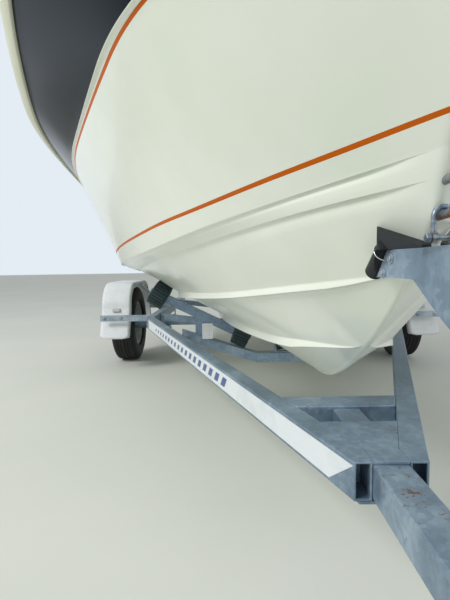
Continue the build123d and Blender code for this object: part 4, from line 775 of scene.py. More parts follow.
@dataclass
class HullLines:
    """The hull's lines on the port side, as points of x, y and z from the transom to the stem."""

    keel: tuple = ((-4.50, 0.012, 0.430), (-3.60, 0.012, 0.420), (-2.60, 0.012, 0.415), (-1.40, 0.012, 0.424),
                   (-0.62, 0.012, 0.452), (-0.30, 0.012, 0.541), (-0.02, 0.012, 0.706), (0.150, 0.012, 0.855))
    inner: tuple = ((-4.50, 0.37, 0.560), (-3.60, 0.375, 0.553), (-2.60, 0.37, 0.548), (-1.40, 0.325, 0.558),
                    (-0.62, 0.190, 0.579), (-0.33, 0.120, 0.602), (-0.20, 0.045, 0.609), (-0.15, 0.012, 0.615))
    outer: tuple = ((-4.50, 0.70, 0.665), (-3.60, 0.71, 0.658), (-2.60, 0.68, 0.655), (-1.40, 0.552, 0.668),
                    (-0.62, 0.352, 0.700), (-0.30, 0.215, 0.728), (-0.05, 0.080, 0.757), (0.060, 0.012, 0.770))
    chine_in: tuple = ((-4.50, 0.97, 0.740), (-3.60, 0.985, 0.735), (-2.60, 0.955, 0.745), (-1.40, 0.712, 0.776),
                       (-0.62, 0.475, 0.815), (-0.30, 0.325, 0.845), (-0.03, 0.170, 0.873), (0.168, 0.012, 0.895))
    chine_out: tuple = ((-4.50, 1.06, 0.775), (-3.60, 1.075, 0.775), (-2.60, 1.055, 0.782), (-1.40, 0.80, 0.804),
                        (-0.62, 0.525, 0.836), (-0.30, 0.365, 0.866), (-0.03, 0.192, 0.898), (0.185, 0.014, 0.930))
    knuckle: tuple = ((-4.50, 1.10, 1.06), (-3.60, 1.13, 1.08), (-2.60, 1.145, 1.15), (-1.40, 0.995, 1.205),
                      (-0.70, 0.765, 1.22), (-0.25, 0.565, 1.22), (0.08, 0.37, 1.22), (0.395, 0.018, 1.225))
    sheer: tuple = ((-4.50, 1.11, 1.17), (-3.60, 1.155, 1.19), (-2.60, 1.17, 1.225), (-1.40, 1.105, 1.32),
                    (-0.80, 0.985, 1.385), (-0.30, 0.80, 1.48), (0.20, 0.50, 1.58), (0.70, 0.03, 1.63))
    rake: float = math.tan(math.radians(12))
    foot_z: float = 0.430

    def curve(self, name: str, at: Array) -> Array:
        """A line's points at parameters from 0 at the transom to 7 at the stem."""
        points = np.array(getattr(self, name))
        points[0, 0] -= (points[0, 2] - self.foot_z) * self.rake
        return natural_spline(points, at)

    def along_x(self, name: str, x: Array) -> Array:
        """A line's points at places along the boat, read off its densely sampled curve."""
        dense = self.curve(name, np.linspace(0, 7, 1401))
        x_in = np.clip(x, dense[0, 0], dense[-1, 0])
        return np.stack([x_in, np.interp(x_in, dense[:, 0], dense[:, 1]),
                         np.interp(x_in, dense[:, 0], dense[:, 2])], axis=-1)


@dataclass
class Hull:
    """The moulded hull: keel, spray strakes, double chine, knuckle, dark wedge panel and pinstripes."""

    lines: HullLines = field(default_factory=HullLines)
    columns: int = 170
    inner_depth: tuple = ((-4.5, 0.028), (-1.4, 0.028), (-0.9, 0.025), (-0.35, 0.022), (-0.15, 0.0))
    outer_depth: tuple = ((-4.5, 0.030), (-1.4, 0.030), (-1.13, 0.028), (-0.9, 0.0215), (-0.6, 0.0175), (-0.25, 0.0150),
                          (-0.08, 0.0135), (-0.03, 0.0105), (0.03, 0.004), (0.05, 0.0))
    strake_end_x: float = -1.13
    skin: float = 0.010
    keel_half: float = 0.008
    lower_stripe_up: tuple = ((0.0, 0.066), (3.0, 0.063), (4.2, 0.058), (4.6, 0.0525), (5.0, 0.047), (5.4, 0.0435),
                              (6.0, 0.041), (6.6, 0.041), (7.0, 0.046))
    stripe: float = 0.0085
    bead_proud: float = 0.005
    recess: float = 0.004
    chine_lip: float = 0.0085
    side_lip: float = 0.0065
    wedge_foot: tuple = ((-1.5, -0.002), (-0.64, -0.0045), (-0.2, -0.002), (0.03, -0.006), (0.40, -0.006))
    stripe_gap: tuple = ((-1.5, 0.018), (-0.64, 0.0155), (-0.2, 0.018), (0.03, 0.0105), (0.40, 0.0105))

    def build(self) -> None:
        """The outer surface as one grid from rail to rail, closed at the stem, with its skin turned inwards."""
        rows, bands = self.rows()
        sides = np.concatenate([rows[::-1] * FLIP, rows[1:]])
        cap = self.stem_cap(rows[:, -1])
        marks = np.concatenate([np.repeat(bands[::-1] + bands, sides.shape[1] - 1),
                                np.repeat(bands, cap.shape[1] - 1)])
        vertices, faces = together([grid(sides), grid(cap)])
        data = bpy.data.meshes.new("hull_skin")
        data.from_pydata((vertices + np.array([NOSE_X, 0, 0])).tolist(), [], faces.tolist())
        for finish in (GELCOAT, STRIPE, PANEL):
            data.materials.append(finish.material())
        data.polygons.foreach_set("material_index", marks.astype(np.int32))
        tidy(data, 2e-4)
        self.outwards(data)
        shade(data, 50)
        made = stand("hull_skin", data)
        wall = made.modifiers.new("skin", "SOLIDIFY")
        wall.thickness = self.skin
        wall.offset = -1.0
        wall.use_even_offset = False
        enrol(made, ROOT, "hull_shell")

    def outwards(self, data: bpy.types.Mesh) -> None:
        """Turn the open skin's faces so that those of the port side look to port."""
        with editing(data) as work:
            flow = sum(f.normal.y * f.calc_area() for f in work.faces if f.calc_center_median().y > 0.3)
            if flow < 0:
                bmesh.ops.reverse_faces(work, faces=work.faces)

    def rows(self) -> tuple[Array, list[int]]:
        """Port rows from the keel to the sheer, and the finish of each band between two rows.

        At parameter u the chines, knuckle and sheer are their splines. The keel and the strakes are read at the x of
        the outer chine, so that they can run out on the stem earlier than the chines do. A strake's step starts on
        the panel below it, d lower than its top line, and its outer face rises from there. Corners are rounded by
        replacing each with points of a quadratic curve.
        """
        u = np.concatenate([np.linspace(0, 5, self.columns // 2, endpoint=False),
                            np.linspace(5, 7, self.columns // 2 + 1)])
        lines = self.lines
        chine_in, chine_out, knuckle, sheer = (
            lines.curve(name, u) for name in ("chine_in", "chine_out", "knuckle", "sheer"))
        x = chine_out[:, 0].copy()
        start, end = x[0], x[-1]
        raked = 1 - smoothstep(x, start, start + 0.5)
        squeeze = 0.013 * smoothstep(x, 0.05, end)
        keel, inner, outer = (lines.along_x(name, x - squeeze + raked * rise * lines.rake)
                              for name, rise in (("keel", 0.345), ("inner", 0.215), ("outer", 0.11)))
        keel = self.keel_line(keel)
        inner = self.run_out(inner, keel, -0.15, x - squeeze)
        outer = self.run_out(outer, keel, 0.06, x - squeeze)
        deep_in = look_up(self.inner_depth, x)
        deep_out = look_up(self.outer_depth, x)
        deep_out *= smoothstep(x, self.strake_end_x - 0.012, self.strake_end_x + 0.012)
        chain = [keel]
        for top, depth in ((inner, deep_in), (outer, deep_out)):
            chain += [*self.strake(chain[-1], top, depth), top]
        chain += [chine_in]
        rows: list[Array] = [keel * np.array([1, 0, 1]) - np.array([0, 0, 0.006]),
                             keel * np.array([1, 0.6, 1]) - np.array([0, 0, 0.004]), keel,
                             self.towards(keel, chain[1], 0.004), self.towards(keel, chain[1], 0.012)]
        for i, radius in zip(range(1, 7), (0.003, 0.0016, 0.0016, 0.003, 0.0016, 0.0016)):
            rows += self.rounded(chain[i - 1], chain[i], chain[i + 1], radius)
        taper = (1 - smoothstep(x, 0.09, 0.178)) * smoothstep(x, start, start + 0.2)
        reach = 1 - 0.6 * smoothstep(x, -0.55, 0.0)
        rows += self.lipped(outer, chine_in, self.chine_lip * taper, reach)
        rows += self.lipped(chine_in, chine_out, self.side_lip * taper, reach)
        rise = natural_spline(np.array(self.lower_stripe_up)[:, 1:], u, np.array(self.lower_stripe_up)[:, 0])[:, 0]
        rows.append(self.between(chine_out, knuckle, np.full(len(u), 0.004)))
        rows.append(self.between(chine_out, knuckle, rise - self.stripe / 2))
        bands = [0] * (len(rows) - 1) + [1]
        rows.append(self.between(chine_out, knuckle, rise + self.stripe / 2))
        bands.append(0)
        upper_rows, upper_bands = self.upper_part(chine_out, knuckle, sheer)
        return np.stack(rows + upper_rows), bands + upper_bands

    def upper_part(self, chine: Array, knuckle: Array, sheer: Array) -> tuple[list[Array], list[int]]:
        """Rows from the topside over the upper pinstripe, the raised lip and the sunk dark wedge to the sheer.

        Each row lies at a signed distance from the knuckle: below it on the topside, above it on the upper strake.
        The lip's distance is 0 over the fore part and grows aft until the wedge closes under the rail.
        """
        height = np.linalg.norm(sheer - knuckle, axis=1)
        up, down = unit(sheer - knuckle), unit(chine - knuckle)
        out = facing(unit(np.cross(up, np.gradient(knuckle, axis=0))), (0, 1, 0))
        lift = self.wedge_lift(knuckle[:, 0])
        base = lift * (height - 0.024) + (1 - lift) * look_up(self.wedge_foot, knuckle[:, 0])
        proud = self.bead_proud * (1 - lift)
        mid = look_up(self.stripe_gap, knuckle[:, 0])
        half = self.stripe / 2 * (1 - 0.2 * smoothstep(knuckle[:, 0], -0.2, 0.05))

        def at(distance: Array, outwards: Array) -> Array:
            low = knuckle + down * np.maximum(-distance, 0)[:, None]
            high = up * np.maximum(distance, 0)[:, None]
            return low + high + out * outwards[:, None]

        flat = np.zeros_like(base)
        plan = (
            (np.minimum(base - mid - half - 0.020, -0.010), flat, 0),
            (np.minimum(base - mid - half - 0.006, 0.0), flat, 0),
            (base - mid - half, flat, 1), (base - mid + half, flat, 0), (base - 0.0062, flat, 0),
            (base - 0.0045, 0.18 * proud, 0), (base - 0.0025, 0.55 * proud, 0), (base - 0.001, 0.90 * proud, 0),
            (base, proud, 0), (base + 0.0012, proud, 0), (base + 0.0020, 0.3 * proud, 0),
            (base + 0.0026, flat - self.recess, 2), (base + 0.006, flat - self.recess, 2))
        room = height - base
        shares = np.linspace(0.14, 0.86, 7)
        plan += tuple((base + share * room, flat - self.recess, 2) for share in shares) + ((height, flat, 0),)
        rows = [at(distance, outwards) for distance, outwards, _ in plan]
        return rows, [band for _, _, band in plan[:-1]]

    def lipped(self, below: Array, line: Array, depth: Array, reach: Array) -> list[Array]:
        """Rows of a panel that ends at a line with a lapped edge.

        Under the line the panel is set inwards by the depth, and this fades to nothing lower down: a hollow below
        the moulding's step. The hollow's height is scaled by the reach.
        """
        width = np.linalg.norm(line - below, axis=1)
        way = unit(line - below, TINY)
        inwards = facing(unit(np.cross(np.gradient(line, axis=0), way), TINY), (0, 0, 1))
        plan = ((0.080, 0.0), (0.045, 0.16), (0.022, 0.52), (0.009, 0.86), (0.0035, 0.98), (0.0016, 1.0), (0.0008, 0.0),
                (0.0, 0.0))
        return [line - way * np.minimum(gap * reach, 0.45 * width * (gap / 0.080) ** 0.5)[:, None]
                + inwards * (share * depth)[:, None] for gap, share in plan]

    def keel_line(self, keel: Array) -> Array:
        """The keel, with the forefoot and stem traced more closely."""
        stem = np.array([(-0.86, 0.4375), (-0.74, 0.4430), (-0.62, 0.4530), (-0.50, 0.4725), (-0.40, 0.5022),
                         (-0.30, 0.5418), (-0.20, 0.5922), (-0.11, 0.6436), (-0.03, 0.6962), (0.04, 0.7525),
                         (0.092, 0.8000), (0.127, 0.8340), (0.155, 0.863), (0.172, 0.895)])
        dense = natural_spline(stem, np.linspace(0, len(stem) - 1, 1300))
        traced = np.interp(keel[:, 0], dense[:, 0], dense[:, 1])
        share = smoothstep(keel[:, 0], -0.84, -0.70)
        z = keel[:, 2] * (1 - share) + traced * share
        return np.stack([keel[:, 0], np.full(len(keel), self.keel_half), z], axis=-1)

    def run_out(self, line: Array, keel: Array, end_x: float, x: Array) -> Array:
        """A strake line that joins the keel line beyond its end."""
        share = smoothstep(x, end_x - 0.03, end_x)[:, None]
        return line * (1 - share) + keel * share

    def strake(self, below: Array, top: Array, depth: Array) -> tuple[Array, Array]:
        """Where a strake starts on the panel below and its outer lower edge."""
        drop = np.minimum(depth, 0.6 * np.maximum(top[:, 2] - below[:, 2], 0))
        rise = np.maximum(top[:, 2] - below[:, 2], 1e-6)
        share = ((rise - drop) / rise)[:, None]
        begin = below + (top - below) * share
        edge = top + np.stack([np.zeros_like(drop), 0.07 * drop, -drop], axis=-1)
        return begin, edge

    def towards(self, start: Array, goal: Array, distance: float) -> Array:
        """Points a short distance along the way to another line, and never past a third of it."""
        way = goal - start
        size = np.linalg.norm(way, axis=1)
        return start + way * (np.minimum(distance, size / 3) / np.maximum(size, TINY))[:, None]

    def between(self, low: Array, high: Array, distance: Array) -> Array:
        """Points a distance up from one line towards another."""
        return low + unit(high - low) * distance[:, None]

    def wedge_lift(self, x: Array) -> Array:
        """Share of the way from knuckle to sheer at which the dark wedge begins: it closes to a point aft."""
        return 1 - smoothstep(x, -2.50, -1.55)

    def rounded(self, before: Array, corner: Array, after: Array, radius: float) -> list[Array]:
        """Five rows that round a corner: two support rows, two ends and the middle (a + 2c + b)/4."""
        back, ahead = before - corner, after - corner
        back_size = np.linalg.norm(back, axis=1)[:, None] + TINY
        ahead_size = np.linalg.norm(ahead, axis=1)[:, None] + TINY
        near_b = np.minimum(radius, 0.25 * back_size)
        near_a = np.minimum(radius, 0.25 * ahead_size)
        a, b = corner + back / back_size * near_b, corner + ahead / ahead_size * near_a
        wide_a = corner + back / back_size * np.minimum(2.2 * near_b, 0.45 * back_size)
        wide_b = corner + ahead / ahead_size * np.minimum(2.2 * near_a, 0.45 * ahead_size)
        return [wide_a, a, (a + 2 * corner + b) / 4, b, wide_b]

    def stem_cap(self, edge: Array) -> Array:
        """A rounded strip that closes the stem between the two sides.

        At a share s of the half breadth h it bulges forward by 0.4*h*(1 - s*s), whose end slope meets the sides'.
        """
        shares = np.linspace(-1, 1, 9)
        half = np.abs(edge[:, 1])
        along = unit(np.gradient(edge[:, [0, 2]], axis=0), TINY)
        forward = facing(np.stack([along[:, 1], np.zeros(len(edge)), -along[:, 0]], axis=-1), (1, 0, 0))
        level = smoothstep(np.abs(along[:, 1]), 0.45, 0.75)[:, None]
        forward = forward * (1 - level) + np.array([1.0, 0.0, 0.0]) * level
        centre = edge * np.array([1, 0, 1])
        bulge = (0.4 * half)[:, None, None] * (1 - shares**2)[None, :, None] * forward[:, None]
        sideways = half[:, None, None] * shares[None, :, None] * np.array([0, 1, 0])
        return centre[:, None] + bulge + sideways


@dataclass
class GunwaleRail:
    """The pale moulding that covers the joint of hull and deck, in one sweep round the bow."""

    lines: HullLines = field(default_factory=HullLines)
    steps: int = 200
    band: float = 0.046

    def build(self) -> None:
        """Carry the section along the sheer, port side, round the tip and back along starboard.

        The outer part of the section is measured down the upper strake and along its normal, the inner part level
        and upwards, so that the moulding stays flat on the flaring side.
        """
        u = np.concatenate([np.linspace(0, 5, self.steps // 2, endpoint=False), np.linspace(5, 7, self.steps // 2)])
        port, knuckle = self.lines.curve("sheer", u), self.lines.curve("knuckle", u)
        slope = unit(knuckle - port)
        tip = np.array([[0.708, 0.020, 1.6308], [0.712, 0.010, 1.6312], [0.713, 0.0, 1.6313]])
        path = np.concatenate([port, tip, tip[-2::-1] * FLIP, port[::-1] * FLIP])
        down = np.concatenate([slope, np.tile(unit(slope[-1] * [1, 0, 1]), (5, 1)), slope[::-1] * FLIP])
        tangent = unit(np.gradient(path, axis=0))
        level = unit(np.stack([-tangent[:, 1], tangent[:, 0], np.zeros(len(path))], axis=-1))
        normal = facing(unit(np.cross(down, tangent)), level)
        up = np.array([0.0, 0.0, 1.0])
        w = self.band
        on_strake = ((0.004, -0.003), (w * 0.5, -0.005), (w, -0.005), (w, 0.0020), (w - 0.0015, 0.0044),
                     (w - 0.005, 0.0056), (w * 0.5, 0.0062), (0.008, 0.0060), (0.002, 0.0048))
        on_deck = ((0.0012, 0.008), (0.0002, 0.016), (-0.0022, 0.0225), (-0.006, 0.0268), (-0.011, 0.0290),
                   (-0.018, 0.0295), (-0.022, 0.0285), (-0.022, 0.0264), (-0.004, 0.0262), (-0.003, 0.004))
        rows = [path + down * a + normal * b for a, b in on_strake]
        rows += [path + level * a + up * b for a, b in on_deck]
        piece("gunwale_rail", closed_sweep(np.stack(rows, axis=1)), RAIL, "rub_rail")


# ---------------------------------------------------------------------------------------------------------------
# Trailer


class Side(Enum):
    """Which side of the centre plane a piece stands on."""

    PORT = 1
    STARBOARD = -1

    def of(self, mesh: Mesh) -> Mesh:
        """The mesh on this side, drawn to port."""
        return mesh if self is Side.PORT else mirrored(mesh)


@dataclass
class Rollers:
    """Rubber rollers with ribs along their axes, under the hull and under the keel."""

    radius: float = 0.062
    width: float = 0.080
    ribs: int = 26
    rib_depth: float = 0.0045
    bore: float = 0.0104
    gap: float = 0.0006
    places: tuple = ((-1.400, "shoulder", 0.200), (-1.400, "shoulder", 0.590), (-3.750, "aft", 0.240),
                     (-3.750, "aft", 0.500))
    panels: dict = field(default_factory=lambda: {
        "shoulder": ((0.012, 0.424), (0.325, 0.558), (0.545, 0.668), (0.715, 0.776)),
        "aft": ((0.012, 0.421), (0.375, 0.554), (0.710, 0.659), (0.985, 0.740))})
    keel_places: tuple = ((-1.400, 0.424), (-3.750, 0.421))
    keel_radius: float = 0.028
    keel_width: float = 0.110
    keel_bore: float = 0.0084

    def build(self) -> None:
        """All the rollers as two pieces, one for the hull and one for the keel."""
        meshes = []
        for x, station, y in self.places:
            centre, along = self.seat(station, y)
            ribbed = self.ribbed((x, centre[0], centre[1]), (0.0, along[0], along[1]))
            meshes += [ribbed, mirrored(ribbed)]
        piece("hull_rollers", together(meshes), TEAL, "wobble_rollers", sharp=28)
        keel = [self.waisted(x, z - self.keel_radius - self.gap) for x, z in self.keel_places]
        piece("keel_roller_set", together(keel), TEAL, "keel_rollers", sharp=40)

    def seat(self, station: str, y: float) -> tuple[Array, Array]:
        """Centre of a roller under a panel, and its pin's direction, which lies along the panel."""
        points = np.array(self.panels[station])
        i = int(np.searchsorted(points[:, 0], y)) - 1
        (ya, za), (yb, zb) = points[i], points[i + 1]
        slope = (zb - za) / (yb - ya)
        lean = math.hypot(1, slope)
        reach = self.radius + self.gap
        z = za + slope * (y - ya)
        return np.array([y + reach * slope / lean, z - reach / lean]), np.array([1 / lean, slope / lean])

    def ribbed(self, origin: tuple, axis: tuple) -> Mesh:
        """A roller whose radius drops in grooves along its axis: r - depth*(1 - pulse(t))."""
        half, r = self.width / 2, self.radius
        profile = ring_profile([(self.bore, half), (r - 0.020, half), (r - 0.012, half - 0.001),
                                (r - 0.004, half - 0.002), (r - 0.001, half - 0.005), (r, half - 0.009), (r, 0.0)])
        segments = self.ribs * 8
        phase = (np.arange(segments) % 8) / 8
        groove = np.where((phase > 0.55) & (phase < 0.95), 1.0, 0.0)
        reach = np.array([0, 0, 0.3, 1, 1, 1, 1, 1, 1, 1, 0.3, 0, 0, 0])
        return turned(profile, segments, origin, axis, -self.rib_depth * reach[:, None] * groove[None])

    def waisted(self, x: float, z: float) -> Mesh:
        """The keel's small roller, wider at its ends, with a moulded ring at each shoulder."""
        half, r = self.keel_width / 2, self.keel_radius
        profile = ring_profile([
            (self.keel_bore, half), (r - 0.006, half), (r + 0.002, half - 0.002), (r + 0.004, half - 0.006),
            (r + 0.003, half - 0.012), (r + 0.001, half - 0.022), (r, half - 0.028), (r, half - 0.03),
            (r - 0.002, half - 0.031), (r - 0.002, half - 0.034), (r, half - 0.035)])
        return turned(profile, 48, (x, 0.0, z), (0, 1, 0))


@dataclass
class Tyres:
    """Road tyres with a tread of four grooves and angled sipes, and ribbed shoulders."""

    x: float = -2.950
    y: float = 1.135
    radius: float = 0.3049
    centre_z: float = 0.305
    width: float = 0.185
    rim_radius: float = 0.165
    blocks: int = 66

    def build(self) -> None:
        """One tyre a side."""
        for side in Side:
            word = side.name.lower()
            piece(f"tyre_treaded_{word}", side.of(self.tyre()), TYRE, f"tyre_{word}", f"wheel_{word}", 30)

    def tyre(self) -> Mesh:
        """Turn the tyre's outline; the tread's radius drops in its grooves and sipes."""
        h, r, b = self.width / 2, self.radius, self.rim_radius - 0.0006
        tread = np.linspace(-h + 0.022, h - 0.022, 29)
        crown = r - 0.0045 * (np.abs(tread) / (h - 0.022)) ** 3
        lower = [(b, -0.058), (b + 0.015, -0.063), (b + 0.032, -h + 0.006), (r - 0.088, -h + 0.0015), (r - 0.070, -h),
                 (r - 0.052, -h + 0.0005), (r - 0.036, -h + 0.003), (r - 0.024, -h + 0.0075), (r - 0.013, -h + 0.014)]
        upper = [(a, -c) for a, c in reversed(lower)]
        inside = [(b + 0.012, 0.048), (b + 0.05, h - 0.012), (r - 0.030, h - 0.022), (r - 0.016, h - 0.040),
                  (r - 0.016, -h + 0.040), (r - 0.030, -h + 0.022), (b + 0.05, -h + 0.012), (b + 0.012, -0.048),
                  (b, -0.058)]
        profile = np.array(lower + list(zip(crown, tread)) + upper + inside)[::-1]
        segments = self.blocks * 6
        turn = np.arange(segments) / 6.0
        across = profile[:, 1][:, None]
        on_tread = (profile[:, 0] > r - 0.006)[:, None]
        grooves = np.zeros((len(profile), 1))
        for centre in (-0.042, -0.014, 0.014, 0.042):
            grooves = np.maximum(grooves, (np.abs(across - centre) < 0.0032).astype(float))
        phase = (turn[None] + 22 * np.abs(across)) % 1.0
        sipes = ((phase > 0.78) & (np.abs(across) > 0.016)).astype(float)
        drop = np.maximum(grooves, 0.7 * sipes) * on_tread * 0.0065
        return turned(profile, segments, (self.x, self.y, self.centre_z), (0, 1, 0), -drop)


@dataclass
class Guards:
    """Moulded wheel guards: an arch with rounded edges and turned-down lips on both sides."""

    x: float = -2.950
    inner: float = 1.032
    outer: float = 1.250
    half_length: float = 0.502
    height: float = 0.656
    bottom: float = 0.250
    corner: float = 0.190
    shoulder: float = 0.095
    foot_round: float = 0.030
    edge_radius: float = 0.018
    lip: float = 0.024
    thick: float = 0.005

    def build(self) -> None:
        """Both guards as one piece."""
        both = together([self.arch(), mirrored(self.arch())])
        made = piece("wheel_guards", both, GUARD, "guards", sharp=45)
        wall = made.modifiers.new("wall", "SOLIDIFY")
        wall.thickness = self.thick
        wall.offset = -1.0

    def arch(self) -> Mesh:
        """Carry the guard's section over the arch.

        The path climbs from the low front corner, leans in, turns over by an arc and comes down behind. The section
        is a flat top that turns down at both edges by a quarter circle to a short lip. Near the lower ends the lips
        and edges draw in, so that the bottom corners are round.
        """
        arc_x = self.half_length - self.shoulder - self.corner
        front = arc(self.corner, 90, 15) + [arc_x, self.height - self.corner]
        climb = np.linspace(0, 1, 16)[:-1, None]
        low = np.array([self.half_length, self.bottom])
        leg = low + (front[0] - low) * climb
        flat = np.stack([np.linspace(arc_x, 0, 8)[1:], np.full(7, self.height)], -1)
        half = np.concatenate([leg, front, flat])
        outline = np.concatenate([half, half[::-1][1:] * np.array([-1, 1])])
        tangent = unit(np.gradient(outline, axis=0))
        inward = facing(np.stack([-tangent[:, 1], tangent[:, 0]], axis=-1), np.array([0, 0.35]) - outline)
        r = self.edge_radius
        edge = r - arc(r, 90, 6)
        y_in = np.concatenate([[self.inner], self.inner + edge[:, 0]])
        d_in = np.concatenate([[r + self.lip], edge[:, 1]])
        y_mid = np.linspace(self.inner + r, self.outer - r, 9)[1:-1]
        y = np.concatenate([y_in, y_mid, (self.inner + self.outer) - y_in[::-1]])
        d = np.concatenate([d_in, np.zeros(7), d_in[::-1]])
        above = np.clip((outline[:, 1] - self.bottom) / self.foot_round, 0, 1)
        tuck = self.foot_round * (1 - np.sqrt(np.clip(1 - (above - 1) ** 2, 0, 1)))
        middle = (self.inner + self.outer) / 2
        width = (self.outer - self.inner) / 2
        y_grid = middle + (y[None] - middle) * ((width - tuck) / width)[:, None]
        xz = outline[:, None] + inward[:, None] * d[None, :, None]
        points = np.stack([self.x + xz[..., 0], y_grid, xz[..., 1]], axis=-1)
        points[..., 2] = np.maximum(points[..., 2], self.bottom)
        return grid(points)


@dataclass
class Bolts:
    """Hexagon bolt heads with washers, wherever plates meet."""

    table: tuple = (
        *(((x, y, 0.4037), (turn, 0, 0), 0.008) for x, turn in ((-2.443, 1), (-3.457, -1)) for y in (1.203, 1.082)),
        ((-1.370, 0.436, 0.4227), (1, 0, 0), 0.0075), ((-1.370, 0.490, 0.4398), (1, 0, 0), 0.0075),
        *(((x, 0.050, 0.440), (0, 0, 1), 0.007) for x in (0.555, 0.705)),
        *(((x, 0.036, 0.402), (0, 1, 0), 0.007) for x in (1.125, 1.165)),
        *(((x, 0.024, 0.8305), (0, 0, 1), 0.005) for x in (0.455, 0.535)),
        ((0.117, 0.05022, 0.7935), (0.139, 0.990, 0), 0.0042), ((0.095, 0.0533, 0.7725), (0.139, 0.990, 0), 0.0042))

    def build(self) -> None:
        """Every visible bolt of the trailer as one piece: the port ones by seat, axis and size, and their mirrors."""
        heads = [self.head(seat, axis, size) for seat, axis, size in self.table]
        piece("trailer_bolts", together([*heads, *map(mirrored, heads)]), BOLT_ZINC, sharp=25)

    def head(self, seat: tuple, axis: tuple, size: float) -> Mesh:
        """A washer and a six-sided head with a chamfered crown, standing on a seat along an axis."""
        washer = turned(np.array([(0.0, 0.0018), (1.75 * size, 0.0018), (1.9 * size, 0.0014), (1.9 * size, 0.0)])[::-1],
                        20, seat, axis)
        crown = turned(np.array([(0.0, 0.85 * size), (0.86 * size, 0.85 * size), (1.15 * size, 0.72 * size),
                                 (1.15 * size, 0.0018)])[::-1], 6, seat, axis)
        return together([washer, crown])


@dataclass
class BlankTag:
    """A blank pale tag that stands on the front of the roller beam, starboard side."""

    x: float = -1.3698
    thick: float = 0.0026
    middle_y: float = -0.392
    half: float = 0.026
    low: float = 0.427
    high: float = 0.503
    corner: float = 0.005

    def build(self) -> None:
        """An outline with rounded corners, given its thickness forwards."""
        half_z = (self.high - self.low) / 2
        right = arc(self.corner, 90, 5) + [self.half - self.corner, half_z - self.corner]
        outline = np.concatenate([right, right[::-1] * [-1, 1], -right, right[::-1] * [1, -1]])
        outline += [self.middle_y, self.low + half_z]
        path = np.array([[self.x, 0, 0], [self.x + self.thick, 0, 0]])
        piece("blank_tag", swept(path, outline, (0, 1, 0), (0, 0, 1)), GUARD)


@dataclass
class PadRings:
    """A thin bright ring round the top of each of the bow pad's rubber feet."""

    top: tuple[float, float, float] = (0.1135, 0.053, 0.813)
    foot: tuple[float, float, float] = (0.055, 0.053, 0.7735)
    down: float = 0.017
    radius: float = 0.0150
    wire: float = 0.0011

    def build(self) -> None:
        """Both rings as one piece: a small circle turned about the foot's axis."""
        axis = unit(np.array(self.foot) - np.array(self.top))
        place = np.array(self.top) + axis * self.down
        profile = circle(self.wire, 10) + [self.radius, 0.0]
        ring = turned(np.vstack([profile, profile[:1]]), 48, tuple(place), tuple(axis))
        piece("pad_rings", together([ring, mirrored(ring)]), STAINLESS, sharp=60)


@dataclass
class Shackle:
    """A galvanised shackle that hangs on the lower leg of the bow eye, with its pin, head and nut."""

    x: float = 0.166
    top_z: float = 0.8592
    drop: float = 0.040
    half: float = 0.0125
    wire: float = 0.0038

    def build(self) -> None:
        """The bow as a round bar swept along a U, and the pin across its ends."""
        low = self.top_z - self.drop
        bend = arc(self.half, 180, 25) + [0, self.top_z - self.half]
        leg = np.linspace(low, bend[0, 1], 6)[:-1]
        sides = [np.stack([np.full(5, sign * self.half), leg], axis=-1) for sign in (1, -1)]
        path = np.insert(np.concatenate([sides[0], bend, sides[1][::-1]]), 0, self.x, axis=1)
        across = np.array([1.0, 0.0, 0.0])
        bow = swept(path, circle(self.wire, 16), across, np.cross(unit(np.gradient(path, axis=0)), across))
        reach = self.half + self.wire + 0.001
        pin = turned(np.array([(0.0, -reach), (self.wire, -reach), (self.wire, reach), (0.0, reach)]), 20,
                     (self.x, 0.0, low), (0, 1, 0))
        head = turned(np.array([(0.0, 0.0), (0.0068, 0.0), (0.0068, 0.0045), (0.0055, 0.006), (0.0, 0.006)]), 6,
                      (self.x, reach, low), (0, 1, 0))
        eye = turned(ring_profile([(0.0042, 0.0036), (0.0075, 0.0036)]), 24, (self.x, self.half, low), (0, 1, 0))
        made = together([bow, pin, head, mirrored(head), eye, mirrored(eye)])
        piece("bow_shackle", made, BOLT_ZINC, sharp=40)


@dataclass
class ArmStrip:
    """The white strip on the outer face of the starboard arm, with a plain row of blue dashes towards its end."""

    nose_half: float = 0.066
    corner_x: float = -2.180
    frame_half: float = 0.843
    low: float = 0.375
    high: float = 0.432
    thick: float = 0.0007
    dashes: int = 18

    def build(self) -> None:
        """The strip and its dashes as flat plates just proud of the steel."""
        strip = np.array([(-2.10, self.low), (-0.075, self.low), (-0.002, self.high), (-2.10, self.high)])
        piece("arm_strip", self.plate(strip, 0.0, self.thick), STRIP)
        plates = []
        for i, start in enumerate(np.linspace(-1.86, -0.70, self.dashes)):
            share = i / self.dashes
            size, lean, margin = 0.024 + 0.014 * share, 0.018 + 0.008 * share, 0.019 - 0.007 * share
            low, high = self.low + margin, self.high - margin
            dash = np.array([(start, low), (start + size, low), (start + size + lean, high), (start + lean, high)])
            plates.append(self.plate(dash, self.thick, self.thick + 0.0004))
        piece("arm_dashes", together(plates), DASH)

    def plate(self, outline: Array, near: float, far: float) -> Mesh:
        """A flat plate on the arm's outer face: x and z from the outline, y from the arm's slope."""
        slope = (self.frame_half - self.nose_half) / -self.corner_x
        lean = math.hypot(1, slope)
        normal = np.array([slope / lean, -1 / lean, 0])
        base = np.stack([outline[:, 0], -(self.nose_half - outline[:, 0] * slope), outline[:, 1]], axis=-1)
        ring = [base + normal * (near + 0.0002), base + normal * far]
        vertices = np.concatenate(ring)
        count = len(outline)
        i = np.arange(count)
        j = (i + 1) % count
        walls = np.stack([i, j, j + count, i + count], axis=-1)
        caps = np.array([[3, 2, 1, 0], [4, 5, 6, 7]])
        return vertices, np.concatenate([walls, caps])


# ---------------------------------------------------------------------------------------------------------------
# Engine and cockpit


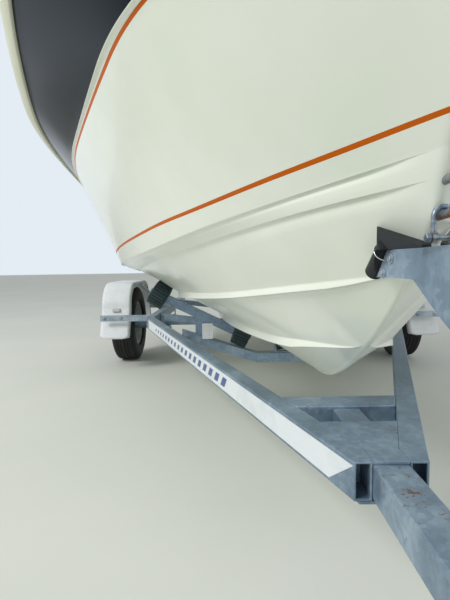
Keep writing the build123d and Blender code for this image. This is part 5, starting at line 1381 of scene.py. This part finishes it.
@dataclass
class Outboard:
    """The engine's domed cover and its propeller, both tilted up about the tilt tube."""

    tilt_x: float = -4.672
    tilt_z: float = 0.985
    steer_behind: float = 0.095
    rest_tilt: float = math.radians(35)
    squareness: float = 3.4
    blades: int = 3
    blade_root: float = 0.036
    blade_radius: float = 0.145

    def tilted(self, mesh: Mesh) -> Mesh:
        """Turn an upright shape by the rest tilt about the tilt tube."""
        c, s = math.cos(self.rest_tilt), math.sin(self.rest_tilt)
        x, z = mesh[0][:, 0] - self.tilt_x, mesh[0][:, 2] - self.tilt_z
        moved = np.stack([self.tilt_x + x * c + z * s, mesh[0][:, 1], self.tilt_z - x * s + z * c], axis=-1)
        return moved, mesh[1]

    def build(self) -> None:
        """The cover and the propeller."""
        piece("engine_cover", self.tilted(self.cover()), COWL_PAINT, "outboard_cowl", "engine_steer",
              40)
        piece("propeller_blades", self.tilted(self.propeller()), PROPELLER, "propeller",
              "propeller_body", 40)

    def cover(self) -> Mesh:
        """Rings of a superellipse |x/a|^n + |y/b|^n = 1 that draw in towards the foot and the domed top."""
        low = self.tilt_z + 0.0665
        back, front = self.tilt_x - self.steer_behind - 0.470, self.tilt_x - self.steer_behind + 0.075
        heights = np.array([0.0, 0.004, 0.030, 0.080, 0.118, 0.121, 0.124, 0.129, 0.132, 0.136, 0.200, 0.300, 0.380,
                            0.430, 0.462, 0.482, 0.494, 0.499])
        insets = np.array([0.026, 0.019, 0.013, 0.006, 0.003, 0.003, 0.009, 0.009, 0.003, 0.003, 0.004, 0.010, 0.021,
                           0.040, 0.064, 0.093, 0.132, 0.170])
        ring = signed_power(circle(1.0, 96), 2 / self.squareness)
        a, b = (front - back) / 2 - insets, 0.200 - insets
        taper = 1 - 0.10 * (ring[:, 0] < 0) * np.abs(ring[:, 0])
        points = np.stack([
            (front + back) / 2 + a[:, None] * ring[None, :, 0],
            b[:, None] * ring[None, :, 1] * taper,
            np.broadcast_to(low + heights[:, None], (len(heights), len(ring)))], axis=-1)
        return closed_sweep(points)

    def propeller(self) -> Mesh:
        """A flared hub and blades that are screw surfaces: at radius r a chord c(r) is pitched by atan(p/(2*pi*r))."""
        z = self.tilt_z - 0.745
        x0 = self.tilt_x - self.steer_behind - 0.2905
        hub = turned(np.array([(0.0102, 0.0), (0.034, 0.0), (0.040, 0.006), (0.043, 0.050), (0.041, 0.100),
                               (0.039, 0.120), (0.030, 0.120), (0.0102, 0.118), (0.0102, 0.0)])[::-1],
                     48, (x0, 0, z), (-1, 0, 0))
        r = np.linspace(self.blade_root, self.blade_radius, 16)
        c = np.linspace(-1, 1, 21)
        share = (r - self.blade_root) / (self.blade_radius - self.blade_root)
        chord = 0.058 * np.sqrt(np.clip(1 - (1.02 * share - 0.42) ** 2 / 0.3481, 0.02, 1)) + 0.012 * (1 - share)
        pitch = np.arctan(0.36 / (2 * math.pi * r))
        skew = 0.35 * share**1.5
        thick = 0.0042 * (1 - 0.6 * share)[:, None] * np.sqrt(np.clip(1 - c**2, 0, 1))[None] + 0.0004
        meshes = [hub]
        for i in range(self.blades):
            layers = []
            for face in (1, -1):
                along = chord[:, None] * c[None] * np.sin(pitch)[:, None] + 0.010 * share[:, None]
                around = chord[:, None] * c[None] * np.cos(pitch)[:, None] / r[:, None] + skew[:, None]
                angle = around + 2 * math.pi * i / self.blades
                x = x0 - 0.060 - along - face * thick * np.cos(pitch)[:, None]
                layers.append(np.stack([x, r[:, None] * np.cos(angle), z + r[:, None] * np.sin(angle)], axis=-1))
            sheet = np.concatenate([layers[0], layers[1][:, ::-1]], axis=1)
            vertices, faces = grid(sheet, wrap_columns=True)
            count = sheet.shape[1]
            around_tip = (len(r) - 1) * count + np.arange(count)
            pairs = np.arange(count // 2 - 1)
            tip = np.stack([around_tip[pairs], around_tip[pairs + 1], around_tip[count - 2 - pairs],
                            around_tip[count - 1 - pairs]], axis=-1)
            meshes.append((vertices, np.concatenate([faces, tip])))
        return together(meshes)


@dataclass
class Cushion:
    """A crowned cushion with a piped seam, its sides drawn in between the corners."""

    name: str
    centre: tuple[float, float, float]
    half: tuple[float, float, float]
    lean: float = 0.0
    channels: int = 0
    crown: float = 0.014
    power: float = 0.30
    top_power: float = 0.42
    seam: float = 0.62
    cord: float = 0.0035

    def build(self, node: str) -> None:
        """The pad and its piping, standing for a soft CAD solid."""
        pad = piece(self.name, self.pad(), CUSHION, node, sharp=60)
        piece(f"{self.name}_piping", self.piping(), PIPING, sharp=60)

    def turned_in(self, points: Array) -> Array:
        """Lean the cushion about its own middle, top aft, and carry it to its place."""
        c, s = math.cos(self.lean), math.sin(self.lean)
        x = points[..., 0] * c - points[..., 2] * s
        z = points[..., 0] * s + points[..., 2] * c
        return np.stack([x, points[..., 1], z], axis=-1) + np.array(self.centre)

    def pad(self) -> Mesh:
        """A rounded box from a sphere's grid.

        With t around and s from pole to pole, x = a*(cos s cos t)^p, y = b*(cos s sin t)^p and z = c*(sin s)^q,
        each with its own sign. The faces crown by crown*(1 - (x/a)^2)*(1 - (y/b)^2), the sides draw in a little at
        the middle of each edge, and the top dips in sewn channels along x.
        """
        a, b, c = (h - self.crown * 0.5 for h in self.half)
        t = np.linspace(0, 2 * math.pi, 128, endpoint=False)
        p = np.linspace(-math.pi / 2, math.pi / 2, 49)
        ring = np.abs(np.cos(p))[:, None] ** self.power
        x = ring * signed_power(np.cos(t), self.power)[None]
        y = ring * signed_power(np.sin(t), self.power)[None]
        z = np.broadcast_to(signed_power(np.sin(p), self.top_power)[:, None], x.shape)
        swell = self.crown * np.clip(1 - x**2, 0, 1) * np.clip(1 - y**2, 0, 1)
        groove = np.zeros_like(x)
        if self.channels:
            phase = (y * 0.5 + 0.5) * self.channels
            groove = 0.010 * np.exp(-((phase - np.round(phase)) * 2 * b / self.channels / 0.007) ** 2)
            groove *= (z > 0.3) * np.clip(1 - x**6, 0, 1) * (np.abs(y) < 0.93)
        pinch = 1 - 0.012 * (1 - np.abs(z)) * (1 - np.maximum(np.abs(x), np.abs(y)) ** 8)
        points = np.stack([a * x * pinch, b * y * pinch, c * z + np.sign(z) * swell - groove], axis=-1)
        return grid(self.turned_in(points), wrap_columns=True)

    def piping(self) -> Mesh:
        """A cord round the top seam, on the same rounded outline."""
        a, b, c = (h - self.crown * 0.5 for h in self.half)
        around = signed_power(arc(1.0, 360, 97), self.power)
        path = np.insert(around * [a, b], 2, self.seam * c, axis=1)
        up = np.array([0, 0, 1.0])
        mesh = swept(path, circle(self.cord, 8), unit(np.cross(up, np.gradient(path, axis=0))), up)
        return self.turned_in(mesh[0]), mesh[1]


@dataclass
class Cockpit:
    """Helm seats on their pedestals and the aft bench, where the CAD has plain blocks."""

    sole: float = 0.800
    seat_x: float = -2.450
    helm_y: float = 0.380
    aft_x: float = -3.930
    half: float = 0.850

    def build(self) -> None:
        """Cushions for the seats and the bench, and what carries them."""
        for side in Side:
            word = side.name.lower()
            y = side.value * self.helm_y
            Cushion(f"seat_pad_{word}", (self.seat_x + 0.010, y, self.sole + 0.315), (0.215, 0.226, 0.052),
                    channels=4).build("seats")
            Cushion(f"seat_back_{word}", (self.seat_x - 0.174, y, self.sole + 0.585), (0.048, 0.212, 0.205),
                    lean=math.radians(8)).build("seats")
            base = turned(np.array([
                (0.0, 0.0), (0.108, 0.0), (0.110, 0.003), (0.106, 0.009), (0.060, 0.014), (0.042, 0.024),
                (0.036, 0.040), (0.036, 0.118), (0.040, 0.120), (0.040, 0.130), (0.030, 0.132), (0.030, 0.236),
                (0.150, 0.240), (0.200, 0.250), (0.200, 0.262), (0.0, 0.262)]), 56,
                (self.seat_x, y, self.sole), (0, 0, 1))
            piece(f"seat_pedestal_{word}", base, STAINLESS, "seats", sharp=30)
        piece("bench_moulding", self.bench_box(), GELCOAT, "rear_bench")
        width = self.half - 0.012
        for k in range(3):
            y, half = (k - 1) * width * 2 / 3, width / 3 - 0.003
            Cushion(f"bench_pad_{k + 1}", (self.aft_x + 0.290, y, self.sole + 0.330), (0.186, half, 0.048),
                    channels=3).build("rear_bench")
            Cushion(f"bench_back_{k + 1}", (self.aft_x + 0.052, y * 0.92, self.sole + 0.505),
                    (0.040, half * 0.92, 0.118), lean=math.radians(6)).build("rear_bench")

    def bench_box(self) -> Mesh:
        """The bench's moulded base: an outline with a rounded nose and a toe space, carried across the boat."""
        back, front = self.aft_x + 0.003, self.aft_x + 0.480
        nose = arc(0.030, 90, 7) + [front - 0.030, self.sole + 0.250]
        outline = np.array([
            (back, self.sole + 0.0005), (front - 0.060, self.sole + 0.0005), (front - 0.060, self.sole + 0.070),
            (front - 0.020, self.sole + 0.090), (front, self.sole + 0.110), *nose, (back, self.sole + 0.280)])
        half = self.half - 0.003
        return swept(np.array([[0, -half, 0], [0, half, 0]]), outline, (1, 0, 0), (0, 0, 1))


# ---------------------------------------------------------------------------------------------------------------
# The CAD's own pieces


@dataclass
class Softener:
    """Gives a CAD node a merged copy with rounded edges, and its finish. Edges that turn less than angle stay."""

    frame: dict
    angle: float = 32.0

    def body_of(self, node: str) -> str:
        """The body a node belongs to."""
        bodies = self.frame["record"]["behaviour"]["bodies"]
        return next(body for body, nodes in bodies.items() if node in nodes)

    def soften(self, node: str, finish: Finish, width: float) -> None:
        """Replace a node by its merged copy in this finish, with its edges rounded by this much."""
        data = self.frame["nodes"][node].data.copy()
        data.name = f"{node}_dressed"
        with editing(data) as work:
            bmesh.ops.remove_doubles(work, verts=work.verts, dist=2e-5)
            bmesh.ops.dissolve_limit(work, angle_limit=math.radians(0.6), verts=work.verts, edges=work.edges)
        data.materials.clear()
        data.materials.append(finish.material())
        shade(data, self.angle)
        made = stand(f"{node}_dressed", data)
        if width > 0:
            bevel = made.modifiers.new("edges", "BEVEL")
            bevel.width = width
            bevel.segments = 2
            bevel.limit_method = "ANGLE"
            bevel.angle_limit = math.radians(self.angle)
            bevel.harden_normals = True
            bevel.use_clamp_overlap = True
        enrol(made, self.body_of(node), node)


@dataclass
class CadPieces:
    """Every CAD node that keeps its own shape, with its finish and the width of its rounded edges."""

    table: tuple = (
        ("transom", GELCOAT, 0.006), ("deck", GELCOAT, 0.004), ("cockpit_liner", GELCOAT, 0.006),
        ("motor_well", GELCOAT, 0.006), ("windscreen_frame", STAINLESS, 0.0), ("windscreen_glass", GLASS, 0.0012),
        ("helm_console", GELCOAT, 0.010), ("steering_wheel", BLACK_PLASTIC, 0.002), ("bow_rails", STAINLESS, 0.0),
        ("cleats", STAINLESS, 0.0), ("bow_eye", RUSTY_ZINC, 0.0), ("bow_roller", STAINLESS, 0.0015),
        ("anchor_hatch", GELCOAT, 0.004), ("outboard_clamp", ENGINE_PAINT, 0.005),
        ("outboard_swivel", ENGINE_PAINT, 0.006), ("outboard_leg", ENGINE_PAINT, 0.006),
        ("outboard_engine", ENGINE_PAINT, 0.004), ("drawbar", DRAWBAR_ZINC, 0.004), ("nose_plates", WORN_ZINC, 0.0015),
        ("frame_side_port", ZINC_PAINTED_SHADE, 0.004), ("frame_side_starboard", ZINC_PAINTED_SHADE, 0.004), ("front_cross_member", ZINC_PAINTED_SHADE, 0.004),
        ("v_beams", ZINC_PAINTED_SHADE, 0.0035), ("axle", ZINC_PAINTED_SHADE, 0.003), ("leaf_springs", ZINC_PAINTED_SHADE, 0.0012),
        ("marker_lights", CLEAR_LENS, 0.003), ("tail_lights", RED_LENS, 0.004), ("winch_post", ZINC_PAINTED_SHADE, 0.0015),
        ("bow_snubber", SNUBBER_RUBBER, 0.006), ("winch_frame", ZINC_PAINTED_SHADE, 0.0012), ("winch_drum", ZINC_PAINTED_SHADE, 0.0015),
        ("winch_strap", STRAP, 0.0008), ("coupling", WORN_ZINC, 0.003), ("jockey_tube", ZINC_PAINTED_SHADE, 0.0015),
        ("jockey_stem", ZINC_PAINTED_SHADE, 0.001), ("jockey_fork", ZINC_PAINTED_SHADE, 0.0012), ("jockey_wheel", BLACK_RUBBER, 0.0),
        ("roller_cradles", ZINC_PAINTED_SHADE, 0.003), ("guard_brackets", ZINC_PAINTED_SUNLIGHT, 0.0015), ("rim_port", RIM_PAINT, 0.0015),
        ("rim_starboard", RIM_PAINT, 0.0015), ("hub_port", ZINC_PAINTED_SHADE, 0.001), ("hub_starboard", ZINC_PAINTED_SHADE, 0.001))

    def build(self, frame: dict) -> None:
        """Soften and dress each node of the table."""
        softener = Softener(frame)
        for node, finish, width in self.table:
            softener.soften(node, finish, width)


def main() -> None:
    """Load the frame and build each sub-assembly in turn."""
    logging.basicConfig(level=logging.INFO, format="%(name)s %(message)s")
    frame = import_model()
    studio = Studio()
    studio.camera()
    studio.floor()
    studio.light()
    for assembly in (Hull, GunwaleRail, Rollers, Tyres, Guards, Bolts, ArmStrip, BlankTag, PadRings, Shackle, Outboard,
                     Cockpit):
        assembly().build()
    CadPieces().build(frame)


if __name__ == "__main__":
    main()
